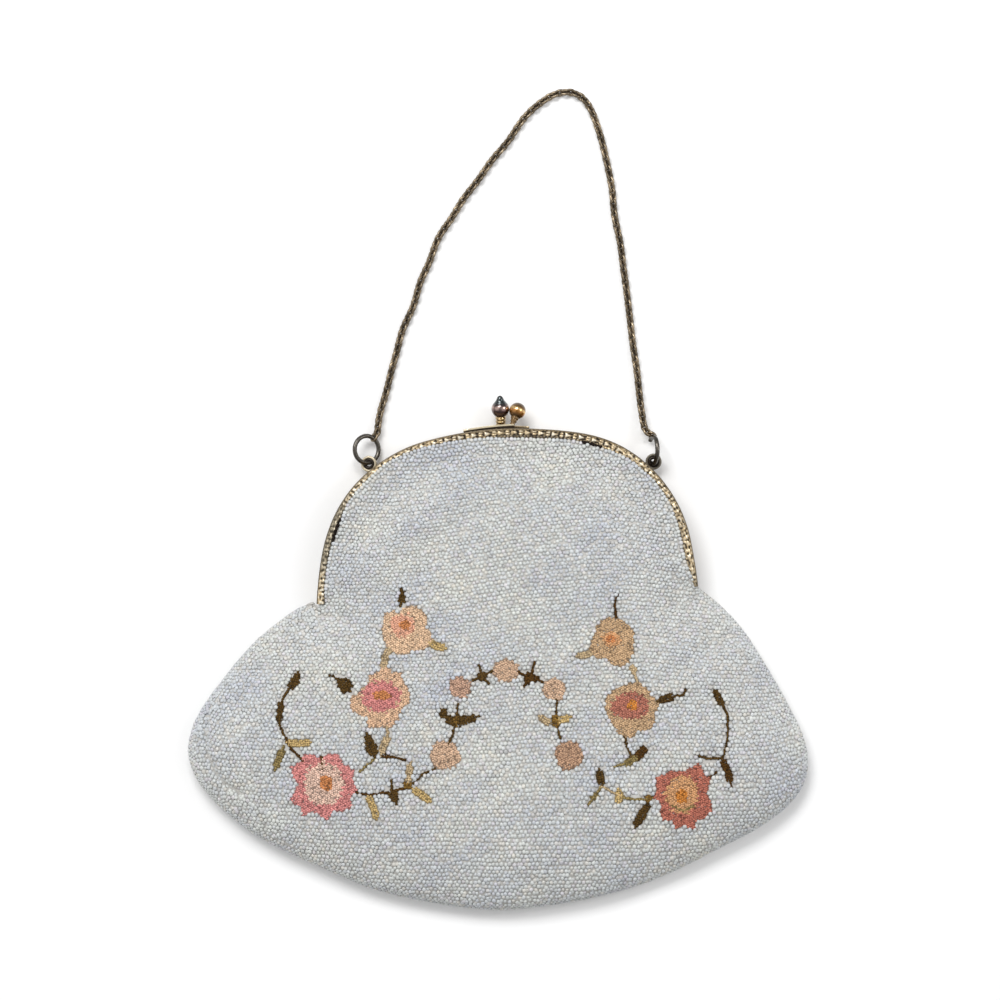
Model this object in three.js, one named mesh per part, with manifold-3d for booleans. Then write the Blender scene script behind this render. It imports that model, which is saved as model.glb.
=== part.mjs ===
// A beaded evening clutch lying on its back: two cloth panels sewn into a hollow pouch, a hinged arch
// frame with a kiss-lock clasp, two jump rings and a chain handle.
// Millimetres. +Z is out of the front panel, +Y runs from the bottom of the bag to its handle, and z = 0
// is the flat underside of the back panel.
import * as THREE from 'three';
import { mergeVertices } from 'three/addons/utils/BufferGeometryUtils.js';
import Module from 'manifold-3d';

const wasm = await Module();
wasm.setup();

// Clearance between neighbouring pieces
const GAP = 0.3;

// Frame: the outer edge of each half is an arch of five arcs, level at its top
const FRAME_TOP = new THREE.Vector2(0, 77.9);
const FRAME_TILT = THREE.MathUtils.degToRad(3.6);
const ARCH = [
  { name: 'top', radius: 110, endsAt: 13 },
  { name: 'shoulder', radius: 46.5, endsAt: 79.5 },
  { name: 'leg', radius: 112, endsAt: 87 },
];
const FRAME_DEPTH = 11;
const FRAME_BACK_Z = 0.5;
const FRAME_METAL = 0.8;
const FACE_WIDTH = 3.4;
const RIM_WIDTH = 0.85;
const RELIEF_PITCH = 4.4;
const RELIEF_HEIGHT = 0.35;
// Falls of the strip's face below its highest line, and the rounding of its outer corner
const FACE_FALL = { groove: 0.05, ridge: 0.1, innerEdge: 0.2 };
const CORNER = 0.45;
const FRAME_MID_Z = FRAME_BACK_Z + FRAME_DEPTH / 2;
const FRAME_FRONT_Z = FRAME_BACK_Z + FRAME_DEPTH;
const FACE_INSIDE = FRAME_METAL + FACE_FALL.groove;

// Eyelets soldered to the back half, placed by their angle from the arch's top
const EYELET = { radius: 2.15, wire: 0.43, z: 4.0 };
const EYELETS = [
  { side: -1, angle: 35.4, standoff: 1.6, tilt: -12 },
  { side: 1, angle: 46.6, standoff: 2.5, tilt: 0 },
];

// Jump rings: centre, then the turns about Y and Z of a ring that starts flat
const RING = { radius: 4.35, wire: 0.65 };
const RINGS = [
  { name: 'ring_left', centre: [-41.6, 70.95, 4.1], turnY: 32, turnZ: 0 },
  { name: 'ring_right', centre: [50.4, 71.2, 5.1], turnY: 80, turnZ: 8 },
];

// Hidden hinge rivets at the ends of the frame's legs
const RIVET = { radius: 1.5, length: 2.0, fromLegEnd: 2.6, clearance: 0.5 };

// Clasp: a spring arm on the arch's top and a turned knob at the arm's end, in the frame's own axes
const ARM = { thickness: 0.7, width: 3.2, lift: 0.75, stations: 6 };
const KNOB = { collar: 0.2, collarHeight: 0.6, neckFrom: 1, tipFrom: 145, tipRadius: 0.75, tipCone: 0.7 };
const CLASPS = [
  {
    name: 'clasp_front', z: 8.3, from: -11, to: 5.4, color: 0xb08a4c,
    foot: [4.7, 1.05, 8.0], ball: [6.75, 5.1, 6.2], ballRadius: 2.5, neckRadius: 1.0, tip: 0,
  },
  {
    name: 'clasp_back', z: 3.7, from: 11.5, to: -0.4, color: 0x8a6248,
    foot: [1.15, 1.05, 3.9], ball: [1.15, 6.4, 5.7], ballRadius: 2.65, neckRadius: 1.45, tip: 4.1,
  },
];

// Pouch: the sewn outline, from each hinge down to the lowest point
const LEFT_EDGE = [
  { x: -65.4, y: 19.3 }, { x: -77.8, y: 9.7 }, { x: -88.7, y: -3.2 }, { x: -97.7, y: -16.1 },
  { x: -100.3, y: -25.8 }, { x: -98.6, y: -33.5 }, { x: -91.9, y: -41.9 }, { x: -81.0, y: -51.5 },
  { x: -69.7, y: -58.0 }, { x: -55.5, y: -64.4 }, { x: -40.4, y: -70.8 }, { x: -17.0, y: -75.9 },
];
const LOWEST = { x: 0.2, y: -77.6 };
const RIGHT_EDGE = [
  { x: 67.6, y: 24.4 }, { x: 76.8, y: 16.1 }, { x: 85.5, y: 3.2 }, { x: 92.9, y: -9.7 },
  { x: 99.3, y: -22.5 }, { x: 100.6, y: -29.0 }, { x: 98.6, y: -38.9 }, { x: 92.6, y: -45.1 },
  { x: 83.6, y: -51.5 }, { x: 70.7, y: -58.0 }, { x: 58.4, y: -64.4 }, { x: 42.0, y: -70.8 },
  { x: 18.0, y: -75.9 },
];
const PANEL_CENTRE = new THREE.Vector2(0, -8);
const CLOTH = 1.6;
const SEAM_Z = 3.4;
const DOME_Z = 16.5;
// Cloth tucked under the frame's face, then how the panels swell away from their rims
const TUCK = 3.6;
const SEAM_SWELL = { run: 40, power: 2.2, root: 0.62 };
const MOUTH_SWELL = { run: 36, power: 2, root: 0.8 };
const FOLD_FADE = { run: 13, power: 2, root: 1 };
const BACK_RUN = 13;
const MOUTH_RAYS = 28;
const SEAM_RAYS = 46;
const HINGE_BLEND = 4;
const LEG_CLEARANCE = 0.75;

// Folds of the front panel: a ridge (or, below zero, a dent) along a line, as wide as its half-width
const FOLDS = [
  { from: [-42, 30], to: [-19, 54], halfWidth: 6.5, height: 1.3 },
  { from: [-36, 22], to: [-10, 47], halfWidth: 6, height: -0.8 },
  { from: [56, 20], to: [72, 6], halfWidth: 4.5, height: -1.3 },
  { from: [50, 13], to: [64, -4], halfWidth: 5, height: 0.9 },
  { from: [-54, 17], to: [-74, 4], halfWidth: 5, height: -0.9 },
  { from: [-13, -36], to: [-11, -66], halfWidth: 5, height: 0.7 },
  { from: [0, -32], to: [0, -68], halfWidth: 5, height: -0.7 },
  { from: [14, -36], to: [12, -66], halfWidth: 5, height: 0.7 },
];

// Chain handle: the middle of the chain from the left ring round to the right ring
const CHAIN = { radius: 1.3, sides: 8, steps: 44 };
const CHAIN_ROUTE = [
  [-39.0, 76.0, 2.7], [-38.5, 79.5, 2.2], [-37.5, 85.3, 1.6], [-34.9, 94.0, 1.35], [-32.4, 103.0, 1.35],
  [-28.2, 115.9, 1.35], [-23.3, 128.8, 1.35], [-18.5, 140.1, 1.35], [-13.7, 148.1, 1.35],
  [-8.9, 154.6, 1.35], [-2.4, 163.3, 1.35], [2.4, 169.7, 1.35], [7.2, 176.1, 1.35], [10.5, 179.7, 1.35],
  [14.3, 182.9, 1.35], [18.2, 185.2, 1.35], [22.1, 186.0, 1.35], [24.8, 185.6, 1.35], [27.5, 184.0, 1.35],
  [29.8, 181.0, 1.35], [31.7, 177.1, 1.35], [33.2, 172.6, 1.35], [35.2, 164.2, 1.35], [37.1, 154.9, 1.35],
  [38.7, 142.3, 1.35], [40.1, 132.3, 1.35], [42.3, 119.1, 1.35], [44.0, 103.0, 1.35], [45.6, 91.4, 1.5],
  [46.9, 82.9, 2.2], [48.9, 76.7, 3.4],
];

const clothMaterial = () => new THREE.MeshStandardMaterial({ color: 0xd0d4d8, roughness: 0.55 });
const gilt = (color) => new THREE.MeshStandardMaterial({ color, roughness: 0.35, metalness: 1 });

// The frame's own axes, placed in the bag
const frameMatrix = new THREE.Matrix4()
  .makeRotationZ(FRAME_TILT)
  .setPosition(FRAME_TOP.x, FRAME_TOP.y, 0);

// Turns every triangle round if the closed surface is inside out
function facingOut(geometry) {
  const p = geometry.attributes.position;
  const index = geometry.index;
  const [a, b, c] = [new THREE.Vector3(), new THREE.Vector3(), new THREE.Vector3()];
  let volume = 0;
  for (let i = 0; i < index.count; i += 3) {
    a.fromBufferAttribute(p, index.getX(i));
    b.fromBufferAttribute(p, index.getX(i + 1));
    c.fromBufferAttribute(p, index.getX(i + 2));
    volume += a.dot(b.cross(c));
  }
  if (volume < 0) {
    for (let i = 0; i < index.count; i += 3) {
      const second = index.getX(i + 1);
      index.setX(i + 1, index.getX(i + 2));
      index.setX(i + 2, second);
    }
  }
  return geometry;
}

// A closed surface through equal rings of points, with flat ends cut from the section's outline
function loft(rings, section) {
  const n = section.length;
  const positions = rings.flat().flatMap((v) => v.toArray());
  const index = [];
  for (let i = 0; i + 1 < rings.length; i += 1) {
    for (let k = 0; k < n; k += 1) {
      const [a, b] = [i * n + k, i * n + ((k + 1) % n)];
      index.push(a, b, a + n, b, b + n, a + n);
    }
  }
  const last = (rings.length - 1) * n;
  for (const [a, b, c] of THREE.ShapeUtils.triangulateShape(section, [])) {
    index.push(a, c, b, last + a, last + b, last + c);
  }
  const geometry = new THREE.BufferGeometry();
  geometry.setAttribute('position', new THREE.Float32BufferAttribute(positions, 3));
  geometry.setIndex(index);
  return facingOut(geometry);
}

function toSolid(geometry) {
  const bare = geometry.clone();
  bare.deleteAttribute('normal');
  bare.deleteAttribute('uv');
  const merged = mergeVertices(bare, 1e-4);
  return new wasm.Manifold(new wasm.Mesh({
    numProp: 3,
    vertProperties: new Float32Array(merged.attributes.position.array),
    triVerts: new Uint32Array(merged.index.array),
  }));
}

// Joins overlapping closed geometries into one body
function fuse(...geometries) {
  const mesh = geometries.map(toSolid).reduce((whole, piece) => whole.add(piece)).getMesh();
  const geometry = new THREE.BufferGeometry();
  geometry.setAttribute('position', new THREE.Float32BufferAttribute(mesh.vertProperties, 3));
  geometry.setIndex([...mesh.triVerts]);
  return geometry;
}

// The centres of the arch's arcs on its right half, in the frame's own axes
function archCentres() {
  const centres = [];
  let centre = new THREE.Vector2(0, -ARCH[0].radius);
  ARCH.forEach((arc, i) => {
    centres.push(centre);
    const next = ARCH[i + 1];
    if (next) {
      const angle = THREE.MathUtils.degToRad(90 - arc.endsAt);
      const step = new THREE.Vector2(Math.cos(angle), Math.sin(angle));
      centre = centre.clone().addScaledVector(step, arc.radius - next.radius);
    }
  });
  return centres;
}

// The arch from its right leg over the top to its left leg, moved in by an inset
function archCurve(inset) {
  const [top, shoulder, leg] = ARCH;
  const [topCentre, shoulderCentre, legCentre] = archCentres();
  const turn = (degrees) => THREE.MathUtils.degToRad(90 - degrees);
  const path = new THREE.Path();
  const arc = (centre, { radius }, side, from, to) =>
    path.absarc(side * centre.x, centre.y, radius - inset, turn(from), turn(to), false);
  arc(legCentre, leg, 1, leg.endsAt, shoulder.endsAt);
  arc(shoulderCentre, shoulder, 1, shoulder.endsAt, top.endsAt);
  arc(topCentre, top, 1, top.endsAt, -top.endsAt);
  arc(shoulderCentre, shoulder, -1, -top.endsAt, -shoulder.endsAt);
  arc(legCentre, leg, -1, -shoulder.endsAt, -leg.endsAt);
  return path;
}

// Evenly spaced places on the arch's outer edge, each with its outward direction
function archStations(count) {
  const curve = archCurve(0);
  return Array.from({ length: count + 1 }, (_, i) => {
    const tangent = curve.getTangentAt(i / count);
    return { point: curve.getPointAt(i / count), out: new THREE.Vector2(tangent.y, -tangent.x) };
  });
}

// The section of the front half: a wall round the outside and a face whose ridge carries the relief
function frameSection(relief) {
  const top = FRAME_FRONT_Z;
  const foot = FRAME_MID_Z + GAP / 2;
  const ceiling = top - FACE_INSIDE;
  return [
    [0, foot], [0, top - CORNER], [-CORNER, top], [-RIM_WIDTH, top - FACE_FALL.groove],
    [-(RIM_WIDTH + FACE_WIDTH) / 2, top - FACE_FALL.ridge + relief],
    [-FACE_WIDTH, top - FACE_FALL.innerEdge],
    [-FACE_WIDTH, ceiling], [-FRAME_METAL, ceiling], [-FRAME_METAL, foot],
  ].map(([n, z]) => new THREE.Vector2(n, z));
}

// One frame half; side is 1 for the front and -1 for its mirror image at the back
function frameHalf(side) {
  const count = 2 * Math.round(archCurve(0).getLength() / RELIEF_PITCH);
  const rings = archStations(count).map(({ point, out }, i) => {
    const section = frameSection(i % 2 ? RELIEF_HEIGHT : 0);
    return section.map(({ x: n, y: z }) => new THREE.Vector3(
      point.x + n * out.x,
      point.y + n * out.y,
      FRAME_MID_Z + side * (z - FRAME_MID_Z),
    ));
  });
  return loft(rings, frameSection(0));
}

function eyelet({ side, angle, standoff, tilt }) {
  const [, centre] = archCentres();
  const turn = THREE.MathUtils.degToRad(angle);
  const reach = ARCH[1].radius + standoff;
  const geometry = new THREE.TorusGeometry(EYELET.radius, EYELET.wire, 6, 16);
  geometry.rotateY(THREE.MathUtils.degToRad(tilt));
  geometry.translate(
    side * (centre.x + reach * Math.sin(turn)),
    centre.y + reach * Math.cos(turn),
    EYELET.z,
  );
  return geometry;
}

// A plain rivet just inside the end of a leg, its axis across the bag
function rivet(side) {
  const leg = archStations(2)[side > 0 ? 0 : 2];
  const geometry = new THREE.CylinderGeometry(RIVET.radius, RIVET.radius, RIVET.length, 12);
  geometry.rotateZ(Math.PI / 2);
  geometry.translate(
    leg.point.x - side * (FRAME_METAL + RIVET.clearance + RIVET.length / 2),
    leg.point.y + RIVET.fromLegEnd,
    FRAME_MID_Z,
  );
  return geometry;
}

// A turned knob on its neck, standing on the origin along +Y, with a pointed tip where it has one
function knob({ ballRadius, neckRadius, tip }, height) {
  const collar = neckRadius + KNOB.collar;
  const profile = [[0, 0], [collar, 0], [collar, KNOB.collarHeight], [neckRadius, KNOB.neckFrom]];
  const start = Math.asin(neckRadius / ballRadius);
  const end = tip ? THREE.MathUtils.degToRad(KNOB.tipFrom) : Math.PI;
  const rows = 7;
  for (let i = 0; i <= rows; i += 1) {
    const angle = start + ((end - start) * i) / rows;
    profile.push([ballRadius * Math.sin(angle), height - ballRadius * Math.cos(angle)]);
  }
  if (tip) {
    profile.push([KNOB.tipRadius, height + tip - KNOB.tipCone], [0, height + tip]);
  } else {
    profile[profile.length - 1][0] = 0;
  }
  return new THREE.LatheGeometry(profile.map(([r, y]) => new THREE.Vector2(r, y)), 12);
}

// A springy strip that follows the arch's top and lifts off it towards its knob
function springArm({ from, to, z }) {
  const section = [[0, -1], [1, -1], [1, 1], [0, 1]].map(([up, across]) => new THREE.Vector2(
    up * ARM.thickness,
    (across * ARM.width) / 2,
  ));
  const [{ radius }] = ARCH;
  const rings = Array.from({ length: ARM.stations }, (_, i) => {
    const share = i / (ARM.stations - 1);
    const x = THREE.MathUtils.lerp(from, to, share);
    const y = Math.sqrt(radius ** 2 - x ** 2) - radius + GAP + ARM.lift * share;
    return section.map(({ x: up, y: across }) => new THREE.Vector3(x, y + up, z + across));
  });
  return loft(rings, section);
}

// A spring arm with its knob, in the frame's own axes
function clasp(spec) {
  const foot = new THREE.Vector3(...spec.foot);
  const axis = new THREE.Vector3(...spec.ball).sub(foot);
  const post = knob(spec, axis.length());
  const lean = new THREE.Quaternion().setFromUnitVectors(new THREE.Vector3(0, 1, 0), axis.normalize());
  post.applyQuaternion(lean);
  post.translate(foot.x, foot.y, foot.z);
  return fuse(springArm(spec), post);
}

// The rim of a panel, counter-clockwise from the right hinge: along the mouth just inside the frame's
// wall, then round the sewn edge. mouth is 1 where the frame holds the cloth and 0 at the seam, and blend
// is its mean over the neighbouring rays, for the cloth further in.
function panelRim() {
  const mouth = archCurve(FACE_INSIDE + GAP);
  const points = mouth.getSpacedPoints(MOUTH_RAYS);
  const past = (from, to) => to.clone().add(to.clone().sub(from).setLength(LEG_CLEARANCE));
  points.unshift(past(points[1], points[0]));
  points.push(past(points[points.length - 2], points[points.length - 1]));
  const placed = points.map(({ x, y }) => {
    const p = new THREE.Vector3(x, y, 0).applyMatrix4(frameMatrix);
    return { x: p.x, y: p.y, mouth: 1 };
  });
  const edge = [...LEFT_EDGE, LOWEST, ...RIGHT_EDGE.toReversed()];
  const seam = new THREE.CatmullRomCurve3(edge.map(({ x, y }) => new THREE.Vector3(x, y, 0)));
  const sewn = seam.getSpacedPoints(SEAM_RAYS - 1).map(({ x, y }) => ({ x, y, mouth: 0 }));
  const rim = [...placed, ...sewn];
  const near = Array.from({ length: 2 * HINGE_BLEND + 1 }, (_, i) => i - HINGE_BLEND);
  rim.forEach((place, k) => {
    const sum = near.reduce((total, step) => total + rim.at((k + step) % rim.length).mouth, 0);
    place.blend = sum / near.length;
  });
  return rim;
}

// From 0 at the start of a swell to 1 at the end of its run
function swell(distance, { run, power, root }) {
  const share = THREE.MathUtils.clamp(distance / run, 0, 1);
  return (1 - (1 - share) ** power) ** root;
}

// Height of all the folds together at a place on the front panel
function foldHeight(x, y) {
  const here = new THREE.Vector3(x, y, 0);
  const nearest = new THREE.Vector3();
  return FOLDS.reduce((sum, { from, to, halfWidth, height }) => {
    const line = new THREE.Line3(new THREE.Vector3(...from, 0), new THREE.Vector3(...to, 0));
    line.closestPointToPoint(here, true, nearest);
    return sum + height * Math.exp(-((nearest.distanceTo(here) / halfWidth) ** 2));
  }, 0);
}

// Outer surface of the front panel, a distance in from the rim
function frontHeight(x, y, inset, mouth) {
  const seamEdge = SEAM_Z + GAP / 2 + CLOTH;
  const mouthEdge = FRAME_FRONT_Z - FACE_INSIDE - GAP;
  const overSeam = THREE.MathUtils.lerp(seamEdge, DOME_Z, swell(inset, SEAM_SWELL));
  const overMouth = THREE.MathUtils.lerp(mouthEdge, DOME_Z, swell(inset - TUCK, MOUTH_SWELL));
  const fold = foldHeight(x, y) * swell(inset - TUCK, FOLD_FADE);
  return THREE.MathUtils.lerp(overSeam, overMouth, mouth) + fold;
}

// Underside of the back panel: flat on the surface, lifted to the seam and into the frame
function backHeight(inset, mouth) {
  const seamEdge = SEAM_Z - GAP / 2 - CLOTH;
  const mouthEdge = FRAME_BACK_Z + FACE_INSIDE + GAP;
  const lift = (edge, from) => edge * (1 - THREE.MathUtils.clamp((inset - from) / BACK_RUN, 0, 1)) ** 2;
  return THREE.MathUtils.lerp(lift(seamEdge, 0), lift(mouthEdge, TUCK), mouth);
}

// A cloth panel as a closed wall: rings of points from the rim to the centre on its outer surface, and the
// same rings moved through the cloth. side is 1 for the front and -1 for the back.
function panel(side, nearRim, shares, height) {
  const rim = panelRim();
  const n = rim.length;
  const rings = [...nearRim.map((inset) => () => inset)];
  const lastNear = nearRim[nearRim.length - 1];
  shares.forEach((share) => rings.push((reach) => lastNear + (reach - lastNear) * share));
  const outer = [];
  rings.forEach((insetOf) => rim.forEach(({ x, y, mouth, blend }) => {
    const ray = new THREE.Vector2(x, y).sub(PANEL_CENTRE);
    const reach = ray.length();
    const inset = insetOf(reach);
    const p = PANEL_CENTRE.clone().addScaledVector(ray, (reach - inset) / reach);
    const held = THREE.MathUtils.lerp(mouth, blend, THREE.MathUtils.smoothstep(inset, TUCK, BACK_RUN));
    outer.push(p.x, p.y, height(p.x, p.y, inset, held));
  }));
  outer.push(PANEL_CENTRE.x, PANEL_CENTRE.y, height(PANEL_CENTRE.x, PANEL_CENTRE.y, Infinity, 0));

  const skin = [];
  const around = (k) => (k + 1) % n;
  for (let j = 0; j + 1 < rings.length; j += 1) {
    for (let k = 0; k < n; k += 1) {
      const [a, b] = [j * n + k, j * n + around(k)];
      skin.push(a, b, a + n, b, b + n, a + n);
    }
  }
  const centre = rings.length * n;
  const lastRing = centre - n;
  for (let k = 0; k < n; k += 1) {
    skin.push(lastRing + k, lastRing + around(k), centre);
  }

  const sheet = new THREE.BufferGeometry();
  sheet.setAttribute('position', new THREE.Float32BufferAttribute(outer, 3));
  sheet.setIndex(skin);
  sheet.computeVertexNormals();
  const normals = sheet.attributes.normal;
  const inner = [];
  for (let i = 0; i <= centre; i += 1) {
    const through = i < n ? new THREE.Vector3(0, 0, 1) : new THREE.Vector3().fromBufferAttribute(normals, i);
    inner.push(
      outer[3 * i] - side * CLOTH * through.x,
      outer[3 * i + 1] - side * CLOTH * through.y,
      outer[3 * i + 2] - side * CLOTH * through.z,
    );
  }
  const offset = centre + 1;
  const index = [...skin];
  for (let i = 0; i < skin.length; i += 3) {
    index.push(skin[i] + offset, skin[i + 2] + offset, skin[i + 1] + offset);
  }
  for (let k = 0; k < n; k += 1) {
    index.push(k, k + offset, around(k), around(k), k + offset, around(k) + offset);
  }
  const geometry = new THREE.BufferGeometry();
  geometry.setAttribute('position', new THREE.Float32BufferAttribute([...outer, ...inner], 3));
  geometry.setIndex(index);
  return facingOut(geometry);
}

function chain() {
  const route = new THREE.CatmullRomCurve3(CHAIN_ROUTE.map((p) => new THREE.Vector3(...p)));
  const section = new THREE.Shape();
  for (let i = 0; i < CHAIN.sides; i += 1) {
    const angle = (2 * Math.PI * i) / CHAIN.sides;
    const corner = [CHAIN.radius * Math.cos(angle), CHAIN.radius * Math.sin(angle)];
    if (i === 0) {
      section.moveTo(...corner);
    } else {
      section.lineTo(...corner);
    }
  }
  section.closePath();
  return new THREE.ExtrudeGeometry(section, { steps: CHAIN.steps, extrudePath: route });
}

function named(name, geometry, material) {
  const mesh = new THREE.Mesh(geometry, material);
  mesh.name = name;
  return mesh;
}

const clutch = new THREE.Group();

const nearRimFront = [0, 1.7, TUCK, 7, 12];
const sharesFront = [0.1, 0.2, 0.31, 0.43, 0.57, 0.74];
clutch.add(named('front_panel', panel(1, nearRimFront, sharesFront, frontHeight), clothMaterial()));

const backFromRim = (x, y, inset, mouth) => backHeight(inset, mouth);
const nearRimBack = [0, 1.7, TUCK, 7, 12, TUCK + BACK_RUN];
clutch.add(named('back_panel', panel(-1, nearRimBack, [], backFromRim), clothMaterial()));

const frame = new THREE.Group();
frame.position.set(FRAME_TOP.x, FRAME_TOP.y, 0);
frame.rotation.z = FRAME_TILT;
clutch.add(frame);
frame.add(named('frame_front', frameHalf(1), gilt(0xbe965a)));
frame.add(named('frame_back', fuse(frameHalf(-1), ...EYELETS.map(eyelet)), gilt(0xbe965a)));
frame.add(named('hinge_pin_left', rivet(-1), gilt(0x8f7448)));
frame.add(named('hinge_pin_right', rivet(1), gilt(0x8f7448)));
CLASPS.forEach((spec) => frame.add(named(spec.name, clasp(spec), gilt(spec.color))));

RINGS.forEach(({ name, centre, turnY, turnZ }) => {
  const ring = named(name, new THREE.TorusGeometry(RING.radius, RING.wire, 8, 18), gilt(0x4c463a));
  ring.position.set(...centre);
  ring.rotation.set(0, THREE.MathUtils.degToRad(turnY), THREE.MathUtils.degToRad(turnZ), 'ZYX');
  clutch.add(ring);
});

clutch.add(named('chain', chain(), gilt(0x4a4234)));

export default clutch;
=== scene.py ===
"""A beaded evening clutch lying on its back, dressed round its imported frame.

Lengths are millimetres in the part's own axes: +Z out of the front panel and +Y from the bottom of the bag
to its handle. They become metres only where a mesh, a lamp or the camera is made.
"""

import logging
import math
from collections.abc import Mapping, Sequence
from dataclasses import dataclass, field
from enum import Enum
from typing import Any

import bmesh
import bpy
import numpy as np
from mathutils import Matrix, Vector
from mathutils.bvhtree import BVHTree


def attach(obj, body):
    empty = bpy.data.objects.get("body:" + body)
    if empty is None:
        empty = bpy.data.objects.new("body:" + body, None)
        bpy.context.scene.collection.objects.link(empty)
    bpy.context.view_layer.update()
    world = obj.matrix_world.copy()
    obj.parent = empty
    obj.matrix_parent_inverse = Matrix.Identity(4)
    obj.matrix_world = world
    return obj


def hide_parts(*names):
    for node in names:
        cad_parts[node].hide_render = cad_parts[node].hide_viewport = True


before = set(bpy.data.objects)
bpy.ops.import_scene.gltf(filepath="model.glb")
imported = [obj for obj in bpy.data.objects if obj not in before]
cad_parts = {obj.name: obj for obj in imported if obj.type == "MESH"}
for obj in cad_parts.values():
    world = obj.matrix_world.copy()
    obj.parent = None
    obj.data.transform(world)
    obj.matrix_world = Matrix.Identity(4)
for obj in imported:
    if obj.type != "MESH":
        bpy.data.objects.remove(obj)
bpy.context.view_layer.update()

LOG = logging.getLogger("clutch")
METRES = 0.001
BODY = "root"
TINT = "tint"
BAKE_MAP = "OFBake"

Array = np.ndarray
Draws = np.random.Generator
Pair = tuple[float, float]
Triple = tuple[float, float, float]
# Beads: centres, outward directions, directions along the rows. Stitches: places, directions, threads.
Beads = tuple[Array, Array, Array]
Stitches = tuple[Array, Array, list["Thread"]]
ACROSS = (1.0, 0.0, 0.0)


class PanelSide(Enum):
    """Which way the outer surface of a cloth panel faces along Z."""

    FRONT = 1
    BACK = -1


class Thread(Enum):
    """Silk colours of the embroidery, as 8-bit sRGB."""

    PEACH = (250, 215, 180)
    BUFF = (235, 200, 170)
    APRICOT = (250, 210, 175)
    CREAM = (255, 220, 200)
    BLUSH = (225, 185, 160)
    BISQUE = (215, 175, 145)
    HONEY = (225, 190, 150)
    WHEAT = (240, 185, 135)
    ROSE = (245, 165, 160)
    PINK = (240, 160, 155)
    CORAL = (215, 135, 115)
    SALMON = (255, 195, 165)
    MAUVE = (205, 135, 115)
    ORANGE = (230, 155, 100)
    AMBER = (235, 155, 75)
    GOLD = (225, 195, 135)
    TAN = (220, 195, 155)
    OLIVE = (165, 145, 95)
    OCHRE = (150, 115, 55)
    BROWN = (95, 65, 25)
    DARK = (100, 75, 35)
    # Not a silk colour: painted shade for the dark gaps beside the frame
    SHADE = (40, 30, 25)


@dataclass(frozen=True)
class PhotoScale:
    """Turns pixels of the 1000 by 1000 photograph into places on the domed front cloth."""

    pixel: float = 0.322
    zero: Pair = (497.5, 670.0)
    middle: Pair = (500.0, 500.0)
    nearness: float = 0.9935

    def place(self, places: Sequence[Pair]) -> Array:
        """Gives the places in millimetres."""
        pixels = self.middle + (np.asarray(places, float) - self.middle) * self.nearness
        return (pixels - self.zero) * (self.pixel, -self.pixel)


PHOTO = PhotoScale()


def linear(colour: Sequence[float]) -> Array:
    """Turns an 8-bit sRGB colour into linear light."""
    share = np.asarray(colour, float) / 255
    return np.where(share <= 0.04045, share / 12.92, ((share + 0.055) / 1.055) ** 2.4)


def rgba(colour: Sequence[float]) -> tuple[float, ...]:
    """Gives an 8-bit sRGB colour as a linear colour with full alpha."""
    return (*linear(colour), 1.0)


def smoothstep(low: float, high: float, value: Array) -> Array:
    """Rises smoothly from 0 at low to 1 at high."""
    share = np.clip((np.asarray(value, float) - low) / (high - low), 0, 1)
    return share * share * (3 - 2 * share)


def unit(vectors: Array) -> Array:
    """Scales each row of an array to length one."""
    return vectors / np.linalg.norm(vectors, axis=-1, keepdims=True)


def smooth_path(points: Array, per_span: int = 12) -> Array:
    """Runs a smooth curve through given points, with knots spaced by the root of each span.

    Args:
        points: (n, d) points in order.
        per_span: how many places are found on each span.

    Returns:
        The places on the curve.
    """
    points = np.asarray(points, float)
    ends = np.vstack([2 * points[0] - points[1], points, 2 * points[-1] - points[-2]])
    places = []
    for p0, p1, p2, p3 in zip(ends, ends[1:], ends[2:], ends[3:]):
        knots = np.cumsum([0.0] + [np.linalg.norm(b - a) ** 0.5 for a, b in ((p0, p1), (p1, p2), (p2, p3))])
        t = np.linspace(knots[1], knots[2], per_span, endpoint=False)[:, None]

        def blend(a: Array, b: Array, start: float, end: float, at: Array = t) -> Array:
            """Goes from a at one knot to b at another."""
            return a + (b - a) * (at - start) / (end - start)

        a1, a2, a3 = blend(p0, p1, *knots[0:2]), blend(p1, p2, *knots[1:3]), blend(p2, p3, *knots[2:4])
        b1, b2 = blend(a1, a2, knots[0], knots[2]), blend(a2, a3, knots[1], knots[3])
        places.append(blend(b1, b2, knots[1], knots[2]))
    return np.vstack([*places, points[-1:]])


def lengths_along(path: Array) -> Array:
    """Gives the distance from a path's start to each of its points."""
    return np.concatenate([[0.0], np.cumsum(np.linalg.norm(np.diff(path, axis=0), axis=1))])


def at_lengths(path: Array, lengths: Array) -> Array:
    """Finds the places at given distances along a path."""
    run = lengths_along(path)
    return np.stack([np.interp(lengths, run, path[:, k]) for k in range(path.shape[1])], axis=1)


def frames_from(normals: Array, along: Array) -> Array:
    """Makes right-handed axes from each normal and a direction near the surface."""
    flat = unit(along - normals * np.sum(along * normals, axis=1, keepdims=True))
    return np.stack([flat, np.cross(normals, flat), normals], axis=2)


def beside(flat: Array) -> Array:
    """Gives (n, 3) level directions at right angles to others, seen from above."""
    return np.column_stack([flat[:, 1], -flat[:, 0], np.zeros(len(flat))])


def about_y(degrees: float) -> Array:
    """Gives the matrix that turns row vectors about Y."""
    turn = math.radians(degrees)
    return np.array([[math.cos(turn), 0, -math.sin(turn)], [0, 1, 0], [math.sin(turn), 0, math.cos(turn)]])


def about_z(degrees: float) -> Array:
    """Gives the matrix that turns row vectors about Z."""
    turn = math.radians(degrees)
    return np.array([[math.cos(turn), math.sin(turn), 0], [-math.sin(turn), math.cos(turn), 0], [0, 0, 1]])


def from_table(table: Sequence[Pair], along: Array) -> Array:
    """Reads a table of distances and values between its rows."""
    return np.interp(along, *zip(*table))


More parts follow.
